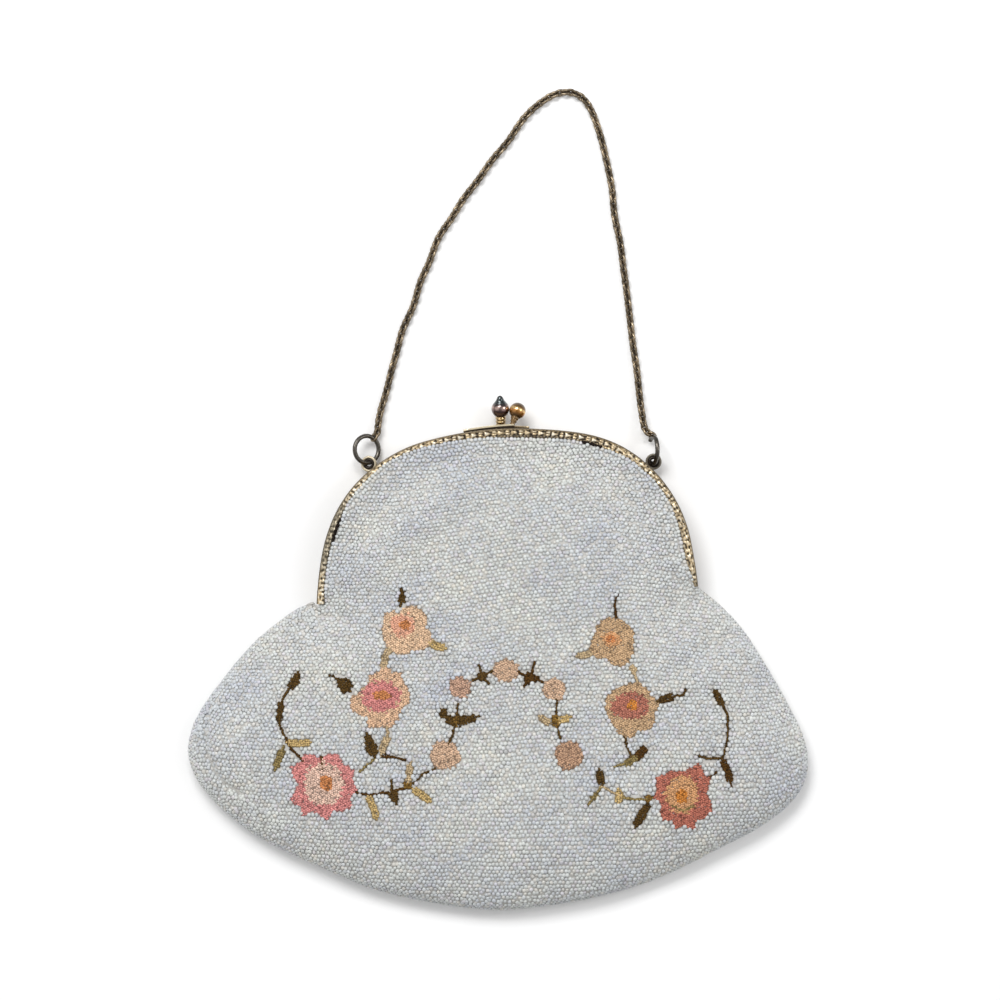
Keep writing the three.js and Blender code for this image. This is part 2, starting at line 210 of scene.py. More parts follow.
def vertex_values(mesh: bpy.types.Mesh, name: str = "co") -> Array:
    """Reads the places or normals of a mesh's vertices.

    Args:
        mesh: what is read.
        name: co for places or normal for normals.

    Returns:
        An (n, 3) array.
    """
    values = np.zeros(len(mesh.vertices) * 3)
    mesh.vertices.foreach_get(name, values)
    return values.reshape(-1, 3)


def linked(name: str, data: bpy.types.ID) -> bpy.types.Object:
    """Makes an object of a mesh, lamp or camera and puts it into the scene.

    Args:
        name: the object's name.
        data: its mesh, lamp or camera.

    Returns:
        The object.
    """
    made = bpy.data.objects.new(name, data)
    bpy.context.scene.collection.objects.link(made)
    return made


class Ripple:
    """A slow, seeded unevenness over the bag, about -1 to 1."""

    def __init__(self, seed: int, shortest: float, longest: float, waves: int = 9) -> None:
        """Draws the waves.

        Args:
            seed: start of the random draws.
            shortest: shortest wave.
            longest: longest wave.
            waves: how many waves are added up.
        """
        rng = np.random.default_rng(seed)
        turn = rng.uniform(0, 2 * np.pi, waves)
        pace = 2 * np.pi / rng.uniform(shortest, longest, waves)
        self.pace = np.stack([pace * np.cos(turn), pace * np.sin(turn)])
        self.phase = rng.uniform(0, 2 * np.pi, waves)

    def at(self, x: Array, y: Array) -> Array:
        """Gives the unevenness at places on the bag."""
        waves = np.sin(np.stack([x, y], axis=-1) @ self.pace + self.phase)
        return waves.sum(-1) / math.sqrt(len(self.phase))


@dataclass(frozen=True)
class Shape:
    """A small closed form that is copied many times, about one unit in half-size."""

    points: Array
    faces: tuple[Array, ...]
    chart: Array
    SHOULDER = (0.7, 0.64)
    CROWN = 0.93
    FOOT = -0.85
    CELL = 0.44

    @classmethod
    def pebble(cls, sides: int) -> "Shape":
        """Makes a rounded bead from a crown, a shoulder, a wide waist and a point below.

        Args:
            sides: corners round the waist.

        Returns:
            The bead.
        """
        turn = 2 * np.pi * (np.arange(sides) + 0.5) / sides
        ring = np.stack([np.cos(turn), np.sin(turn)], axis=1)
        shoulder = np.column_stack([ring * cls.SHOULDER[0], np.full(sides, cls.SHOULDER[1])])
        waist = np.column_stack([ring, np.zeros(sides)])
        points = np.vstack([shoulder, waist, [[0.0, 0.0, cls.CROWN], [0.0, 0.0, cls.FOOT]]])
        k = np.arange(sides)
        after = (k + 1) % sides
        crown = np.stack([k, after, np.full(sides, 2 * sides)], axis=1)
        walls = np.stack([k, k + sides, after + sides, after], axis=1)
        base = np.stack([after + sides, k + sides, np.full(sides, 2 * sides + 1)], axis=1)
        return cls(points, (crown, walls, base), 0.5 + cls.CELL * points[:, :2])


class Stock:
    """Points, faces and colours gathered for one piece, in millimetres."""

    def __init__(self) -> None:
        """Starts empty."""
        self.points: list[Array] = []
        self.faces: list[Array] = []
        self.tints: list[Array] = []
        self.charts: list[Array] = []
        self.count = 0

    def add(self, points: Array, faces: Sequence[Array], tint: Sequence[float]) -> None:
        """Adds one form.

        Args:
            points: (n, 3) places.
            faces: arrays of corner indices, one array for each number of corners.
            tint: one linear colour, or one for each point.
        """
        self.points.append(points)
        self.faces.extend(np.asarray(part) + self.count for part in faces)
        self.tints.append(np.broadcast_to(np.asarray(tint, float), (len(points), 3)))
        self.count += len(points)

    def add_copies(self, shape: Shape, centres: Array, axes: Array, tints: Array) -> None:
        """Adds a copy of a shape at each place, with a cell of the bake map for each.

        Args:
            shape: what is copied.
            centres: (n, 3) places.
            axes: (n, 3, 3) matrices that hold each copy's axes times its half-sizes.
            tints: (n, 3) linear colours.
        """
        copies, corners = len(centres), len(shape.points)
        points = centres[:, None, :] + np.einsum("nij,vj->nvi", axes, shape.points)
        shift = (np.arange(copies) * corners)[:, None, None]
        faces = [(part[None] + shift).reshape(-1, part.shape[1]) for part in shape.faces]
        self.add(points.reshape(-1, 3), faces, np.repeat(tints, corners, axis=0))
        wide = math.ceil(math.sqrt(copies))
        cell = np.stack(np.divmod(np.arange(copies), wide), axis=1)
        self.charts.append(((cell[:, None, :] + shape.chart[None]) / wide).reshape(-1, 2))

    def add_grid(self, grid: Array, tint: Array, close_rows: bool, caps: bool) -> None:
        """Adds a surface through rows of points whose columns close on themselves.

        Args:
            grid: (rows, columns, 3) places.
            tint: (rows, columns, 3) linear colours, or one colour.
            close_rows: whether the last row joins the first.
            caps: whether the first and last rows are closed by a flat face.
        """
        rows, columns = grid.shape[:2]
        row = np.arange(rows if close_rows else rows - 1)
        a = row[:, None] * columns + np.arange(columns)[None, :]
        b = row[:, None] * columns + (np.arange(columns)[None, :] + 1) % columns
        c, d = (b + columns) % (rows * columns), (a + columns) % (rows * columns)
        faces = [np.stack([a, b, c, d], axis=-1).reshape(-1, 4)]
        if caps:
            last = (rows - 1) * columns + np.arange(columns)
            faces += [np.arange(columns)[::-1][None, :], last[None, :]]
        colours = np.broadcast_to(np.asarray(tint, float), grid.shape).reshape(-1, 3)
        self.add(grid.reshape(-1, 3), faces, colours)

    def make(self, name: str, sharp: float | None = None) -> bpy.types.Object:
        """Makes the piece.

        Args:
            name: the piece's name.
            sharp: edges that turn by more than this many degrees stay crisp.

        Returns:
            The new object.
        """
        points = np.concatenate(self.points) * METRES
        corners = np.concatenate([part.ravel() for part in self.faces])
        sizes = np.concatenate([np.full(len(part), part.shape[1]) for part in self.faces])
        mesh = bpy.data.meshes.new(name)
        mesh.vertices.add(len(points))
        mesh.vertices.foreach_set("co", points.ravel())
        mesh.loops.add(len(corners))
        mesh.loops.foreach_set("vertex_index", corners.astype(np.int32))
        mesh.polygons.add(len(sizes))
        mesh.polygons.foreach_set("loop_start", (np.cumsum(sizes) - sizes).astype(np.int32))
        mesh.update(calc_edges=True)
        mesh.shade_smooth()
        if sharp is not None:
            mesh.set_sharp_from_angle(angle=math.radians(sharp))
        colours = np.column_stack([np.concatenate(self.tints), np.ones(len(points))])
        layer = mesh.color_attributes.new(TINT, "FLOAT_COLOR", "POINT")
        layer.data.foreach_set("color", colours.astype(np.float32).ravel())
        if self.charts:
            chart = np.concatenate(self.charts)[corners]
            mesh.uv_layers.new(name=BAKE_MAP).uv.foreach_set("vector", chart.astype(np.float32).ravel())
        return linked(name, mesh)


class Socket:
    """An output socket that stands in Python expressions on values."""

    def __init__(self, graph: "Graph", output: bpy.types.NodeSocket | None) -> None:
        """Keeps the socket and the graph that it belongs to."""
        self.graph = graph
        self.output = output

    def _math(self, operation: str, first: Any, second: Any) -> "Socket":
        """Adds a Math node on two values or sockets."""
        return self.graph.node("ShaderNodeMath", {"operation": operation}, {0: first, 1: second})

    def __add__(self, other: Any) -> "Socket":
        """Adds a value or a socket."""
        return self._math("ADD", self, other)

    __radd__ = __add__

    def __sub__(self, other: Any) -> "Socket":
        """Takes a value or a socket away."""
        return self._math("SUBTRACT", self, other)

    def __rsub__(self, other: Any) -> "Socket":
        """Takes this socket away from a value."""
        return self._math("SUBTRACT", other, self)

    def __mul__(self, other: Any) -> "Socket":
        """Multiplies by a value or a socket."""
        return self._math("MULTIPLY", self, other)

    __rmul__ = __mul__


class Graph:
    """The node tree of one material."""

    def __init__(self, name: str) -> None:
        """Starts an empty tree in a new material.

        Args:
            name: the material's name.
        """
        self.material = bpy.data.materials.new(name)
        self.material.use_nodes = True
        self.tree = self.material.node_tree
        self.tree.nodes.clear()

    def node(
        self,
        kind: str,
        settings: Mapping[str, Any] | None = None,
        sockets: Mapping[str | int, Any] | None = None,
        output: str | int = 0,
    ) -> Socket:
        """Adds a node.

        Args:
            kind: the node's type.
            settings: its own settings, set first; stops are a ramp's positions and colours.
            sockets: values or links of its input sockets, by name or number.
            output: which output is wanted.

        Returns:
            That output.
        """
        node = self.tree.nodes.new(kind)
        for key, value in (settings or {}).items():
            if key == "stops":
                self._set_stops(node.color_ramp.elements, value)
            else:
                setattr(node, key, value)
        for key, value in (sockets or {}).items():
            if isinstance(value, Socket):
                self.tree.links.new(value.output, node.inputs[key])
            else:
                node.inputs[key].default_value = value
        return Socket(self, node.outputs[output] if node.outputs else None)

    @staticmethod
    def _set_stops(elements: Any, stops: Sequence[tuple[float, Sequence[float]]]) -> None:
        """Gives a colour ramp its stops.

        Args:
            elements: the ramp's own stops.
            stops: the positions and colours that they get.
        """
        while len(elements) < len(stops):
            elements.new(1.0)
        for element, (position, colour) in zip(elements, stops):
            element.position = position
            element.color = colour

    def place(self) -> Socket:
        """Gives the place on the piece, in metres."""
        return self.node("ShaderNodeTexCoord", output="Object")

    def tint(self) -> Socket:
        """Gives the colour that the piece's own points carry."""
        return self.node("ShaderNodeVertexColor", {"layer_name": TINT})

    def noise(self, per_metre: float, detail: float = 3.0) -> Socket:
        """Gives a cloudy value from 0 to 1 at a number of clouds to the metre."""
        sockets = {"Vector": self.place(), "Scale": per_metre, "Detail": detail}
        return self.node("ShaderNodeTexNoise", None, sockets, "Fac")

    def mix(self, share: Any, first: Any, second: Any, blend: str = "MIX") -> Socket:
        """Mixes two colours."""
        settings = {"data_type": "RGBA", "blend_type": blend}
        return self.node("ShaderNodeMix", settings, {0: share, 6: first, 7: second}, 2)

    def bump(self, height: Socket, depth: float, strength: float = 1.0) -> Socket:
        """Turns a height from 0 to 1 into a normal, with its depth in millimetres."""
        sockets = {"Height": height, "Distance": depth * METRES, "Strength": strength}
        return self.node("ShaderNodeBump", None, sockets)

    def finish(self, sockets: Mapping[str, Any]) -> bpy.types.Material:
        """Ends the material with a Principled shader.

        Args:
            sockets: the shader's values and links.

        Returns:
            The material.
        """
        shader = self.node("ShaderNodeBsdfPrincipled", None, sockets)
        self.node("ShaderNodeOutputMaterial", None, {"Surface": shader})
        return self.material


@dataclass(frozen=True)
class SeedGlass:
    """White glass of the seed beads, with each bead's own colour."""

    name: str = "seed_glass"
    roughness: float = 0.42
    coat: float = 0.06
    cloud: float = 900.0
    cloud_colour: Triple = (120, 122, 128)
    cloud_share: float = 0.16
    cloud_roughness: float = 0.14

    def material(self) -> bpy.types.Material:
        """Makes the material.

        Returns:
            The glass.
        """
        graph = Graph(self.name)
        cloud = graph.noise(self.cloud, 2.0)
        return graph.finish({
            "Base Color": graph.mix(self.cloud_share * cloud, graph.tint(), rgba(self.cloud_colour)),
            "Roughness": self.roughness + self.cloud_roughness * cloud,
            "Coat Weight": self.coat,
            "Coat Roughness": 0.15,
            "IOR": 1.45,
            "Specular IOR Level": 0.4,
        })


@dataclass(frozen=True)
class SilkThread:
    """Dull-bright silk of the chain stitches."""

    name: str = "silk_thread"
    strand: float = 5200.0
    strand_depth: float = 0.05
    shadow: Triple = (70, 50, 34)
    shadow_share: float = 0.35
    roughness: Pair = (0.6, 0.2)

    def material(self) -> bpy.types.Material:
        """Makes the material.

        Returns:
            The silk.
        """
        graph = Graph(self.name)
        strand = graph.noise(self.strand, 1.0)
        colour = graph.mix(self.shadow_share * strand, graph.tint(), rgba(self.shadow), "MULTIPLY")
        return graph.finish({
            "Base Color": colour,
            "Roughness": self.roughness[0] + self.roughness[1] * strand,
            "Specular IOR Level": 0.12,
            "Normal": graph.bump(strand, self.strand_depth),
        })


@dataclass(frozen=True)
class WovenGround:
    """Close-woven cloth under the beads."""

    name: str = "woven_ground"
    colour: Triple = (204, 203, 200)
    stained: Triple = (190, 185, 177)
    stains: float = 60.0
    stain_share: float = 0.5
    # Painted shade: the cloth darkens towards this colour where the weave lies low
    hollow: Triple = (166, 163, 158)
    hollow_shade_share: Pair = (0.4, 0.35)
    weave_scale: float = 75.0
    weave_depth: float = 0.12
    roughness: Pair = (0.88, 0.08)

    def material(self) -> bpy.types.Material:
        """Makes the material.

        Returns:
            The cloth.
        """
        graph = Graph(self.name)
        weave = []
        for direction in ("X", "Y"):
            settings = {"wave_type": "BANDS", "bands_direction": direction}
            sockets = {"Vector": graph.place(), "Scale": self.weave_scale, "Distortion": 0.6, "Detail": 1.0}
            weave.append(graph.node("ShaderNodeTexWave", settings, sockets, "Fac"))
        height = weave[0] * weave[1]
        stain = graph.noise(self.stains)
        pale = graph.mix(self.stain_share * stain, rgba(self.colour), rgba(self.stained))
        # Painted shade in the weave's low places
        share = self.hollow_shade_share[0] - self.hollow_shade_share[1] * height
        return graph.finish({
            "Base Color": graph.mix(share, pale, rgba(self.hollow)),
            "Roughness": self.roughness[0] - self.roughness[1] * height,
            "Normal": graph.bump(height, self.weave_depth),
        })


@dataclass(frozen=True)
class AgedMetal:
    """Old metal whose bright colour is worn through a dark tarnish."""

    name: str
    tarnish: Triple
    bright: Triple | None = None
    patches: float = 140.0
    spread: float = 0.6
    roughness: float = 0.26
    lacquer: float = 0.0
    metallic: float = 1.0
    edges: Pair = (0.42, 0.68)
    finer: float = 14.0
    grain_share: float = 0.25
    dulling: float = 0.22
    grain_roughness: float = 0.08

    def material(self) -> bpy.types.Material:
        """Makes the material; with no bright colour of its own it takes the piece's.

        Returns:
            The metal.
        """
        graph = Graph(self.name)
        bright = graph.tint() if self.bright is None else rgba(self.bright)
        patches = graph.noise(self.patches, 4.0)
        grain = graph.noise(self.patches * self.finer, 2.0)
        cover = (1 - self.grain_share) * patches + self.grain_share * grain
        settings = {"stops": ((self.edges[0], (0, 0, 0, 1)), (self.edges[1], (1, 1, 1, 1)))}
        share = self.spread * graph.node("ShaderNodeValToRGB", settings, {"Fac": cover}, "Color")
        return graph.finish({
            "Base Color": graph.mix(share, bright, rgba(self.tarnish)),
            "Metallic": self.metallic,
            "Roughness": self.roughness + self.dulling * share + self.grain_roughness * grain,
            "Coat Weight": self.lacquer,
            "Coat Roughness": 0.03,
            "Normal": graph.bump(grain, 0.03, 0.6),
        })


@dataclass(frozen=True)
class PaleSheet:
    """Plain pale surface that the bag lies on."""

    name: str = "pale_sheet"
    colour: Triple = (250, 250, 250)
    cloud: float = 3.0
    cloud_colour: Triple = (235, 236, 238)
    cloud_share: float = 0.04

    def material(self) -> bpy.types.Material:
        """Makes the material.

        Returns:
            The sheet's finish.
        """
        graph = Graph(self.name)
        cloud = graph.noise(self.cloud)
        colour = graph.mix(self.cloud_share * cloud, rgba(self.colour), rgba(self.cloud_colour))
        return graph.finish({"Base Color": colour, "Roughness": 0.9, "Specular IOR Level": 0.1})


@dataclass(frozen=True)
class Dressing:
    """How a finished mesh joins the part: its material, its slot name and what it stands for."""

    material: bpy.types.Material
    slot: str

    def put_on(self, piece: bpy.types.Object, *nodes: str) -> bpy.types.Object:
        """Dresses a piece and fixes it to the bag.

        Args:
            piece: the mesh object.
            nodes: the solids that it stands for.

        Returns:
            The same piece.
        """
        piece.data.materials.clear()
        piece.data.materials.append(self.material)
        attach(piece, BODY)
        if nodes:
            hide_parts(*nodes)
        triangles = sum(len(face.vertices) - 2 for face in piece.data.polygons)
        LOG.info("%s: %d triangles", piece.name, triangles)
        return piece


@dataclass(frozen=True)
class Arc:
    """One arc of the frame's arch: its radius and the angle from the top where it ends."""

    radius: float
    ends_at: float


@dataclass(frozen=True)
class Arch:
    """The outer edge of the metal frame, level in its own axes and tilted on the bag."""

    top: Pair = (0.0, 77.9)
    tilt: float = 3.6
    arcs: tuple[Arc, ...] = (Arc(110.0, 13.0), Arc(46.5, 79.5), Arc(112.0, 87.0))

    def centres(self) -> list[Array]:
        """Finds the centres of the arcs.

        Returns:
            Those of the right half, in the frame's axes.
        """
        centre = np.array([0.0, -self.arcs[0].radius])
        centres = [centre]
        for arc, after in zip(self.arcs, self.arcs[1:]):
            turn = math.radians(arc.ends_at)
            centre = centre + (arc.radius - after.radius) * np.array([math.sin(turn), math.cos(turn)])
            centres.append(centre)
        return centres

    def starts(self) -> list[float]:
        """Measures along the edge from its top.

        Returns:
            The distances where each arc starts, and where the last one ends.
        """
        run, angle = [0.0], 0.0
        for arc in self.arcs:
            run.append(run[-1] + arc.radius * math.radians(arc.ends_at - angle))
            angle = arc.ends_at
        return run

    def stations(self, lengths: Array) -> tuple[Array, Array]:
        """Finds places on the edge.

        Args:
            lengths: signed distances from the top, to the right if positive.

        Returns:
            The places and the outward directions, both (n, 2), in the frame's axes.
        """
        lengths = np.asarray(lengths, float)
        side, run = np.where(lengths < 0, -1.0, 1.0), np.abs(lengths)
        starts, begins = self.starts(), [0.0] + [arc.ends_at for arc in self.arcs]
        places, outward = np.zeros((len(run), 2)), np.zeros((len(run), 2))
        for k, (arc, centre) in enumerate(zip(self.arcs, self.centres())):
            turn = math.radians(begins[k]) + (run - starts[k]) / arc.radius
            here = (run >= starts[k])[:, None]
            out = np.stack([np.sin(turn), np.cos(turn)], axis=1)
            outward = np.where(here, out, outward)
            places = np.where(here, centre + arc.radius * out, places)
        mirror = np.stack([side, np.ones_like(side)], axis=1)
        return places * mirror, outward * mirror

    def locate(self, x: Array, y: Array) -> tuple[Array, Array]:
        """Measures places on the bag against the edge.

        Args:
            x: places across the bag.
            y: places along the bag.

        Returns:
            How far each lies outside the edge (below zero is inside), and its signed distance along it.
        """
        turn = math.radians(self.tilt)
        dx, dy = x - self.top[0], y - self.top[1]
        u, v = dx * math.cos(turn) + dy * math.sin(turn), dy * math.cos(turn) - dx * math.sin(turn)
        side, u = np.where(u < 0, -1.0, 1.0), np.abs(u)
        starts, begins = self.starts(), [0.0] + [arc.ends_at for arc in self.arcs]
        outside, along = np.zeros_like(u), np.zeros_like(u)
        here = np.ones(u.shape, bool)
        for k, (arc, centre) in enumerate(zip(self.arcs, self.centres())):
            angle = np.degrees(np.arctan2(u - centre[0], v - centre[1]))
            reach = np.hypot(u - centre[0], v - centre[1]) - arc.radius
            here = here & (angle >= begins[k]) if k else here
            outside = np.where(here, reach, outside)
            along = np.where(here, starts[k] + np.radians(angle - begins[k]) * arc.radius, along)
        return outside, along * side

    def to_bag(self, points: Array) -> Array:
        """Moves points from the frame's axes into the bag's."""
        return points @ about_z(self.tilt) + (*self.top, 0.0)

    def inside(self, lengths: Array, depths: Array) -> Array:
        """Finds places on the bag within the edge.

        Args:
            lengths: signed distances from the top along the edge.
            depths: distances in from it.

        Returns:
            An (n, 2) array of x and y.
        """
        places, outward = self.stations(lengths)
        level = np.column_stack([places - outward * depths[:, None], np.zeros(len(depths))])
        return self.to_bag(level)[:, :2]


ARCH = Arch()

# How wide the frame's face shows between its edge and the beads, by distance along the arch
OPEN_FACE = (
    (-93.0, 2.4), (-84.0, 2.6), (-76.0, 2.9), (-64.0, 3.0), (-57.0, 2.1), (-47.0, 2.0), (-38.0, 1.6),
    (-30.0, 1.9), (-14.0, 2.4), (-4.0, 2.8), (4.0, 3.4), (15.0, 3.4), (21.0, 2.8), (36.0, 2.5), (44.0, 1.8),
    (56.0, 1.7), (66.0, 2.1), (72.0, 2.7), (80.0, 3.4), (86.0, 3.3), (90.0, 2.5), (94.0, 1.0),
)


def open_face(along: Array) -> Array:
    """Gives how wide the frame's face shows at distances along the arch."""
    return from_table(OPEN_FACE, along)


@dataclass(frozen=True)
class Crease:
    """A soft ridge, or a hollow where its rise is below zero, along a path of photograph pixels."""

    rise: float
    half_width: float
    path_px: tuple[Pair, ...]

    def at(self, x: Array, y: Array) -> Array:
        """Gives the rise at places on the bag.

        Args:
            x: places across the bag.
            y: places along the bag.

        Returns:
            The rise at each.
        """
        path = smooth_path(PHOTO.place(self.path_px), 8)
        nearest = np.full(np.shape(x), np.inf)
        for px, py in path:
            nearest = np.minimum(nearest, (x - px) ** 2 + (y - py) ** 2)
        return self.rise * np.exp(-nearest / self.half_width ** 2)


CREASES = (
    Crease(0.7, 6.0, ((360, 575), (400, 530), (452, 494))),
    Crease(-0.5, 5.0, ((372, 590), (415, 552), (470, 520))),
    Crease(-0.6, 3.6, ((685, 668), (705, 655), (724, 642))),
    Crease(0.5, 4.0, ((690, 682), (714, 668), (735, 652))),
    Crease(-0.5, 4.0, ((752, 688), (772, 700))),
    Crease(-0.35, 6.0, ((226, 780), (240, 790))),
    Crease(-0.7, 9.0, ((612, 862), (648, 872))),
    Crease(-0.35, 2.6, ((490, 796), (492, 834))),
    Crease(0.3, 3.0, ((480, 800), (481, 836))),
    Crease(-0.3, 2.6, ((468, 806), (470, 836))),
    Crease(-0.5, 6.0, ((330, 640), (300, 630))),
    Crease(-0.5, 7.0, ((650, 600), (660, 640))),
    Crease(-0.3, 5.0, ((430, 640), (520, 620), (560, 640))),
    Crease(-0.4, 5.0, ((560, 820), (590, 850))),
    Crease(-1.5, 1.0, ((206, 717), (205, 748), (211, 765), (219, 780), (239, 794))),
)


def creased(x: Array, y: Array) -> Array:
    """Adds up the creases of the front panel at places on the bag."""
    return sum(crease.at(x, y) for crease in CREASES)


# Stretch at each end of the frame where its hold on the cloth fades, and the lip's slope inside the edge
END_FADE = 5.0
LIP_SLOPE = (-10.0, -6.5)


def held_by_frame(along: Array) -> Array:
    """Gives 1 at distances along the arch that fades to 0 at the frame's ends."""
    left, right = HingedFrame.ends
    return smoothstep(0, END_FADE, along - left) * smoothstep(0, END_FADE, right - along)


def lipped(x: Array, y: Array, z: Array, level: float) -> Array:
    """Raises the front cloth to a level all along the frame's mouth."""
    outside, along = ARCH.locate(x, y)
    return z + np.maximum(level - z, 0) * held_by_frame(along) * smoothstep(*LIP_SLOPE, outside)


class PanelSurface:
    """The outer surface of one cloth panel, read from its solid on an even grid."""

    STEP = 0.5
    SPREAD_STEPS = 8
    LAST_CELL = 1.001
    RIM_RAYS = 1080
    RIM_RANGE = (30.0, 120.0)
    HALVINGS = 13
    BATCH = 4000
    CENTRE = (0.0, -8.0)
    FAR = 90.0
    CORNER = math.radians(50)
    JOINED = math.radians(38)
    # The drawn-up left shoulder: where it starts, peaks and ends across the bag, and its stretch along it
    SHOULDER = (-70.0, -59.6, -57.0)
    SHOULDER_FROM = (8.0, 19.0)
    SHOULDER_LIFT = 2.6
    SHOULDER_CURVE = 1.5

    def __init__(self, node: str, side: PanelSide, levels: int) -> None:
        """Reads the solid.

        Args:
            node: the panel's name.
            side: which way it faces.
            levels: how often its faces are divided to smooth them.
        """
        self.node = node
        self.way = side.value
        self.mesh = self._smoothed(levels)
        points = vertex_values(self.mesh) / METRES
        self.tree = BVHTree.FromPolygons(points.tolist(), [tuple(p.vertices) for p in self.mesh.polygons])
        low, high = points.min(0) - 2 * self.STEP, points.max(0) + 2 * self.STEP
        self.xs = np.arange(low[0], high[0], self.STEP)
        self.ys = np.arange(low[1], high[1], self.STEP)
        self.heights = self._read_heights()
        if side is PanelSide.FRONT:
            places = np.meshgrid(self.xs, self.ys)
            self.heights = lipped(*places, self.heights + creased(*places), HingedFrame.lip_level)
        self.slope_y, self.slope_x = np.gradient(self.heights, self.STEP)
        self.rim = self._read_rim()

    def _smoothed(self, levels: int) -> bpy.types.Mesh:
        """Copies the solid's mesh, pairs its triangles and divides them smoothly.

        Args:
            levels: how often the faces are divided.

        Returns:
            The smooth mesh, in metres.
        """
        work = bmesh.new()
        work.from_mesh(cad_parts[self.node].data)
        bmesh.ops.remove_doubles(work, verts=work.verts, dist=1e-6)
        crease = work.edges.layers.float.new("crease_edge")
        for edge in work.edges:
            edge[crease] = 1.0 if edge.calc_face_angle(0.0) > self.CORNER else 0.0
        bmesh.ops.join_triangles(
            work, faces=work.faces, angle_face_threshold=self.JOINED, angle_shape_threshold=math.pi
        )
        mesh = bpy.data.meshes.new(f"{self.node}_work")
        work.to_mesh(mesh)
        work.free()
        piece = linked(mesh.name, mesh)
        divide = piece.modifiers.new("divide", "SUBSURF")
        divide.levels = levels
        smooth = bpy.data.meshes.new_from_object(piece.evaluated_get(bpy.context.evaluated_depsgraph_get()))
        bpy.data.objects.remove(piece)
        self._raise_shoulder(smooth)
        return smooth

    def _raise_shoulder(self, mesh: bpy.types.Mesh) -> None:
        """Lifts the sewn edge beside the frame's left end, where the cloth is drawn up to it.

        Args:
            mesh: the panel's divided mesh, in metres.
        """
        points = vertex_values(mesh)
        x, y = points[:, 0] / METRES, points[:, 1] / METRES
        start, peak, end = self.SHOULDER
        near = ((x - start) / (peak - start)).clip(0, 1) ** self.SHOULDER_CURVE
        near = near * smoothstep(end, peak, x) * smoothstep(*self.SHOULDER_FROM, y)
        points[:, 1] += self.SHOULDER_LIFT * near * METRES
        mesh.vertices.foreach_set("co", points.ravel())
        mesh.update()

    def _height_at(self, x: float, y: float) -> float:
        """Casts one ray at the panel; outside it the result is not a number."""
        hit = self.tree.ray_cast(Vector((x, y, self.way * self.FAR)), Vector((0, 0, -self.way)))
        return math.nan if hit[0] is None else hit[0].z

    def _read_heights(self) -> Array:
        """Reads the grid and carries the heights a little past the rim.

        Returns:
            The height at each place of the grid.
        """
        heights = np.array([[self._height_at(x, y) for x in self.xs] for y in self.ys])
        for _ in range(self.SPREAD_STEPS):
            around = np.stack([np.roll(heights, step, axis) for axis in (0, 1) for step in (-1, 1)])
            known = ~np.isnan(around)
            total = np.where(known, around, 0).sum(0) / np.maximum(known.sum(0), 1)
            heights = np.where(np.isnan(heights) & known.any(0), total, heights)
        return np.nan_to_num(heights, nan=float(np.nanmin(heights)))

    def _read_rim(self) -> Array:
        """Finds the panel's outline by halving, ray by ray round its centre.

        Returns:
            The outline's places in order.
        """
        turn = np.linspace(0, 2 * np.pi, self.RIM_RAYS, endpoint=False)
        ways = np.stack([np.cos(turn), np.sin(turn)], axis=1)
        near, far = (np.full(len(ways), reach) for reach in self.RIM_RANGE)
        for _ in range(self.HALVINGS):
            middle = (near + far) / 2
            places = self.CENTRE + ways * middle[:, None]
            inside = np.array([not math.isnan(self._height_at(x, y)) for x, y in places])
            near, far = np.where(inside, middle, near), np.where(inside, far, middle)
        return self.CENTRE + ways * near[:, None]

    def _sample(self, grid: Array, x: Array, y: Array) -> Array:
        """Reads a grid between its points.

        Args:
            grid: values on the surface's own grid.
            x: places across the bag.
            y: places along the bag.

        Returns:
            The value at each place.
        """
        u = np.clip((x - self.xs[0]) / self.STEP, 0, len(self.xs) - self.LAST_CELL)
        v = np.clip((y - self.ys[0]) / self.STEP, 0, len(self.ys) - self.LAST_CELL)
        i, j = u.astype(int), v.astype(int)
        u, v = u - i, v - j
        low = grid[j, i] * (1 - u) + grid[j, i + 1] * u
        high = grid[j + 1, i] * (1 - u) + grid[j + 1, i + 1] * u
        return low * (1 - v) + high * v

    def height(self, x: Array, y: Array) -> Array:
        """Gives the surface's z at places on the bag."""
        return self._sample(self.heights, x, y)

    def normals(self, x: Array, y: Array) -> Array:
        """Gives the outward directions at places on the bag."""
        slopes = np.stack([-self._sample(self.slope_x, x, y), -self._sample(self.slope_y, x, y)], axis=1)
        return unit(np.column_stack([slopes * self.way, np.full(len(x), float(self.way))]))

    def inset(self, x: Array, y: Array) -> Array:
        """Measures to the outline, a batch at a time.

        Args:
            x: places across the bag.
            y: places along the bag.

        Returns:
            Each place's distance to the outline.
        """
        sides = np.roll(self.rim, -1, axis=0) - self.rim
        nearest = np.full(len(x), np.inf)
        for start in range(0, len(x), self.BATCH):
            batch = slice(start, start + self.BATCH)
            here = np.stack([x, y], axis=1)[batch, None, :]
            share = np.clip(((here - self.rim) * sides).sum(-1) / (sides * sides).sum(-1), 0, 1)
            gaps = here - self.rim - share[..., None] * sides
            nearest[batch] = np.sqrt((gaps * gaps).sum(-1).min(1))
        return nearest

    def within(self, x: Array, y: Array) -> Array:
        """Tells which places lie inside the outline.

        Args:
            x: places across the bag.
            y: places along the bag.

        Returns:
            A truth value for each.
        """
        rim_x, rim_y = (self.rim - self.CENTRE).T
        dx, dy = x - self.CENTRE[0], y - self.CENTRE[1]
        rim_turn, reach = np.arctan2(rim_y, rim_x), np.hypot(rim_x, rim_y)
        return np.hypot(dx, dy) < np.interp(np.arctan2(dy, dx), rim_turn, reach, period=2 * np.pi)

